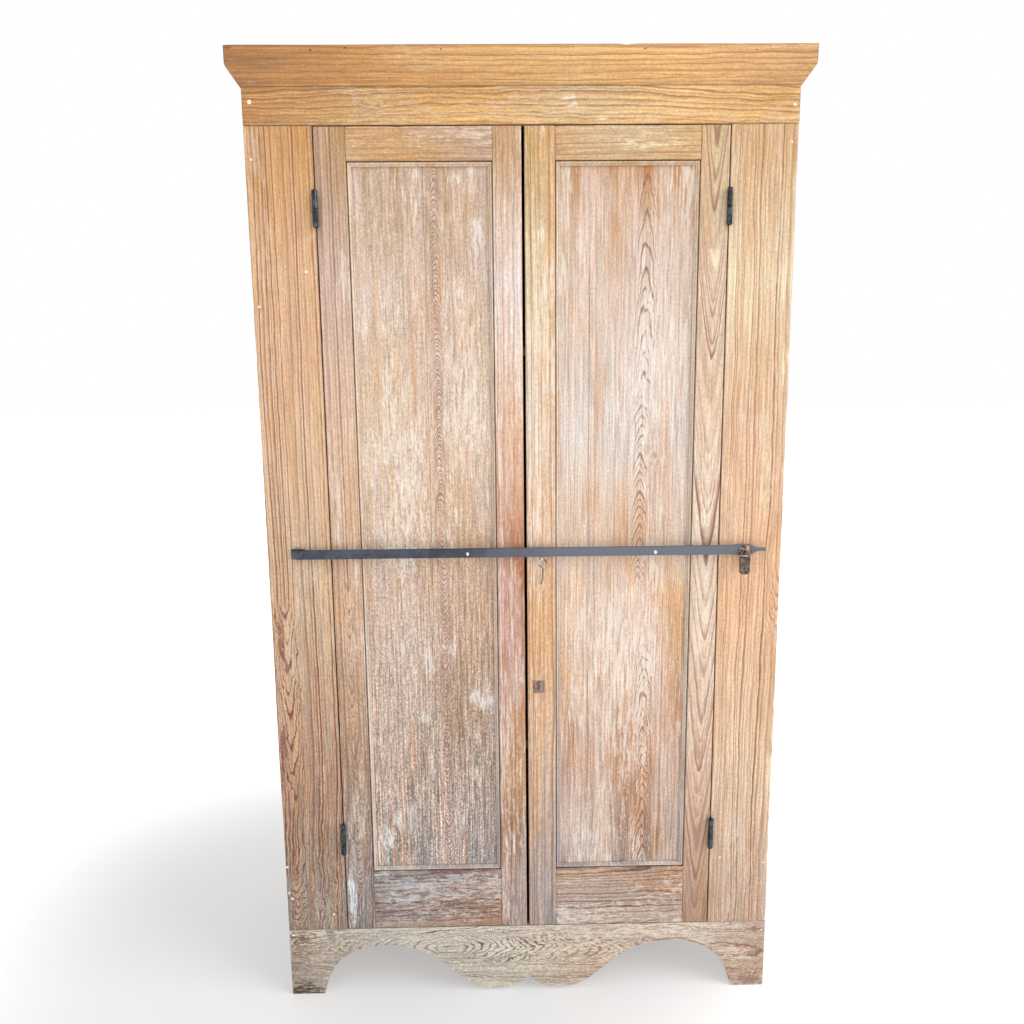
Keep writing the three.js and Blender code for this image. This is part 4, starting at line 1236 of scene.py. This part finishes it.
# (x, z, radius) on the face, in mm
filledNails = [(-565, 2059, 4.4), (-568, 1946, 2.4), (-568, 1647, 2.4), (-464, 1719, 3.2), (570, 2050, 3.0),
               (567, 1976, 2.6), (-577, 340, 3.0), (-576, 272, 2.6), (-568, 257, 3.2), (-470, 214, 2.6),
               (464, 345, 2.6), (-571, 160, 3.0), (570, 330, 2.6), (572, 150, 2.8)]
corniceNails = [(-429, 2149, 2.2), (-359, 2153, 2.0), (-165, 2150, 1.8), (250, 2150, 1.8), (478, 2147, 1.8)]


def heads(name, places, depth, proud, material):
    parts = []
    for index, (x, z, radius) in enumerate(places):
        profile = [(0.05, -0.8), (radius, -0.8), (radius, proud * 0.3), (radius * 0.86, proud * 0.8),
                   (radius * 0.5, proud), (0.05, proud)]
        parts.append(turned(f"{name}_{index}", profile, (x * mm, depth, z * mm), "y", material, 14))
    return joined(name, parts)


keep(heads("filled_nails", filledNails, faceY + 0.25 * mm, 0.45, fillMaterial), "case", "frame_pine")
keep(heads("cornice_nails", corniceNails, facing(-23.7), 0.25, hingeIron), "case", "hinge_iron")


def keyholePatch():
    # an old lock's keyhole, let in with a slip of wood that has darkened round the hole
    look = {"seed": 95, "heart": (-80, 30), "ringGap": 3.2, "ringDark": 0.8, "ringHex": "4f3d34",
            "grit": 0.5, "streakHex": "7c6658", "streak": 0.4, "wash": 0.2, "residueHex": "c9c0b6",
            "residue": 0.35, "edgeDirtAndShade": 0.5,
            "spots": [(26, 784, 9, 1.2, "3c2d24", 0.95), (34, 795, 9, 0.3, "4a382c", 0.9)],
            "tones": [(700, "8f705a"), (900, "94745c")]}
    low = (15 * mm, faceY, 769 * mm)
    high = (42 * mm, faceY, 799 * mm)
    material = pine("keyhole_slip", look, low, high)
    section = rectangle(low[0], high[0], faceY - 0.3 * mm, faceY + 2 * mm, (2.0, 2.0, 0.2, 0.2))
    slip = loft("keyhole_slip", section, "xyz", low[2], high[2], material, 9,
                sag=0.05 * mm, endRound=0.6 * mm, worn=1.6)
    keep(slip, "door_right", "door_pine")


keyholePatch()


print("floor and light")


def makeFloor():
    # a pale floor, grey near the case as painted shadow and white further away; it glows a little, painted
    # light that lightens the shade under and beside the case
    material, add = newMaterial("floor_with_glow_and_painted_shadow")
    place = add("TexCoord").outputs["Object"]
    away = add("VectorMath", "ADD", place, (0.5, 0.1, 0))
    away = add("VectorMath", "LENGTH", away)
    away = add("MapRange", "SMOOTHSTEP", away, 0.5, 1.8)
    # grey near the case: painted shadow
    colour = add("Mix", "RGBA", away, "9f9f9f", "f4f4f4")
    # the glow is painted light; the floor is no lamp
    shader = add("BsdfPrincipled", Base_Color=colour, Roughness=0.8, Emission_Color=(1, 1, 1, 1),
                 Emission_Strength=0.39)
    add("OutputMaterial", Surface=shader)
    reach = 60
    corners = [(-reach, -reach, 0), (reach, -reach, 0), (reach, reach, 0), (-reach, reach, 0)]
    floor = meshObject("floor", corners, [(0, 1, 2, 3)], material)


makeFloor()

lights = [
    # name, direction that it shines from, angle it fills in degrees, strength
    ("key", (0.85, -0.35, 0.5), 40, 2.4),
    ("fill", (-0.5, -0.8, 0.45), 60, 0.35),
]


def makeLights():
    world = bpy.data.worlds.new("studio")
    world.use_nodes = True
    world.node_tree.nodes["Background"].inputs["Color"].default_value = (1, 1, 1, 1)
    world.node_tree.nodes["Background"].inputs["Strength"].default_value = 1.0
    bpy.context.scene.world = world
    for name, towards, wide, strength in lights:
        data = bpy.data.lights.new(name, "SUN")
        data.angle = math.radians(wide)
        data.energy = strength
        newObject(name, data).rotation_euler = Vector(towards).to_track_quat("Z", "Y").to_euler()
    bpy.context.scene.view_settings.view_transform = "Standard"


makeLights()
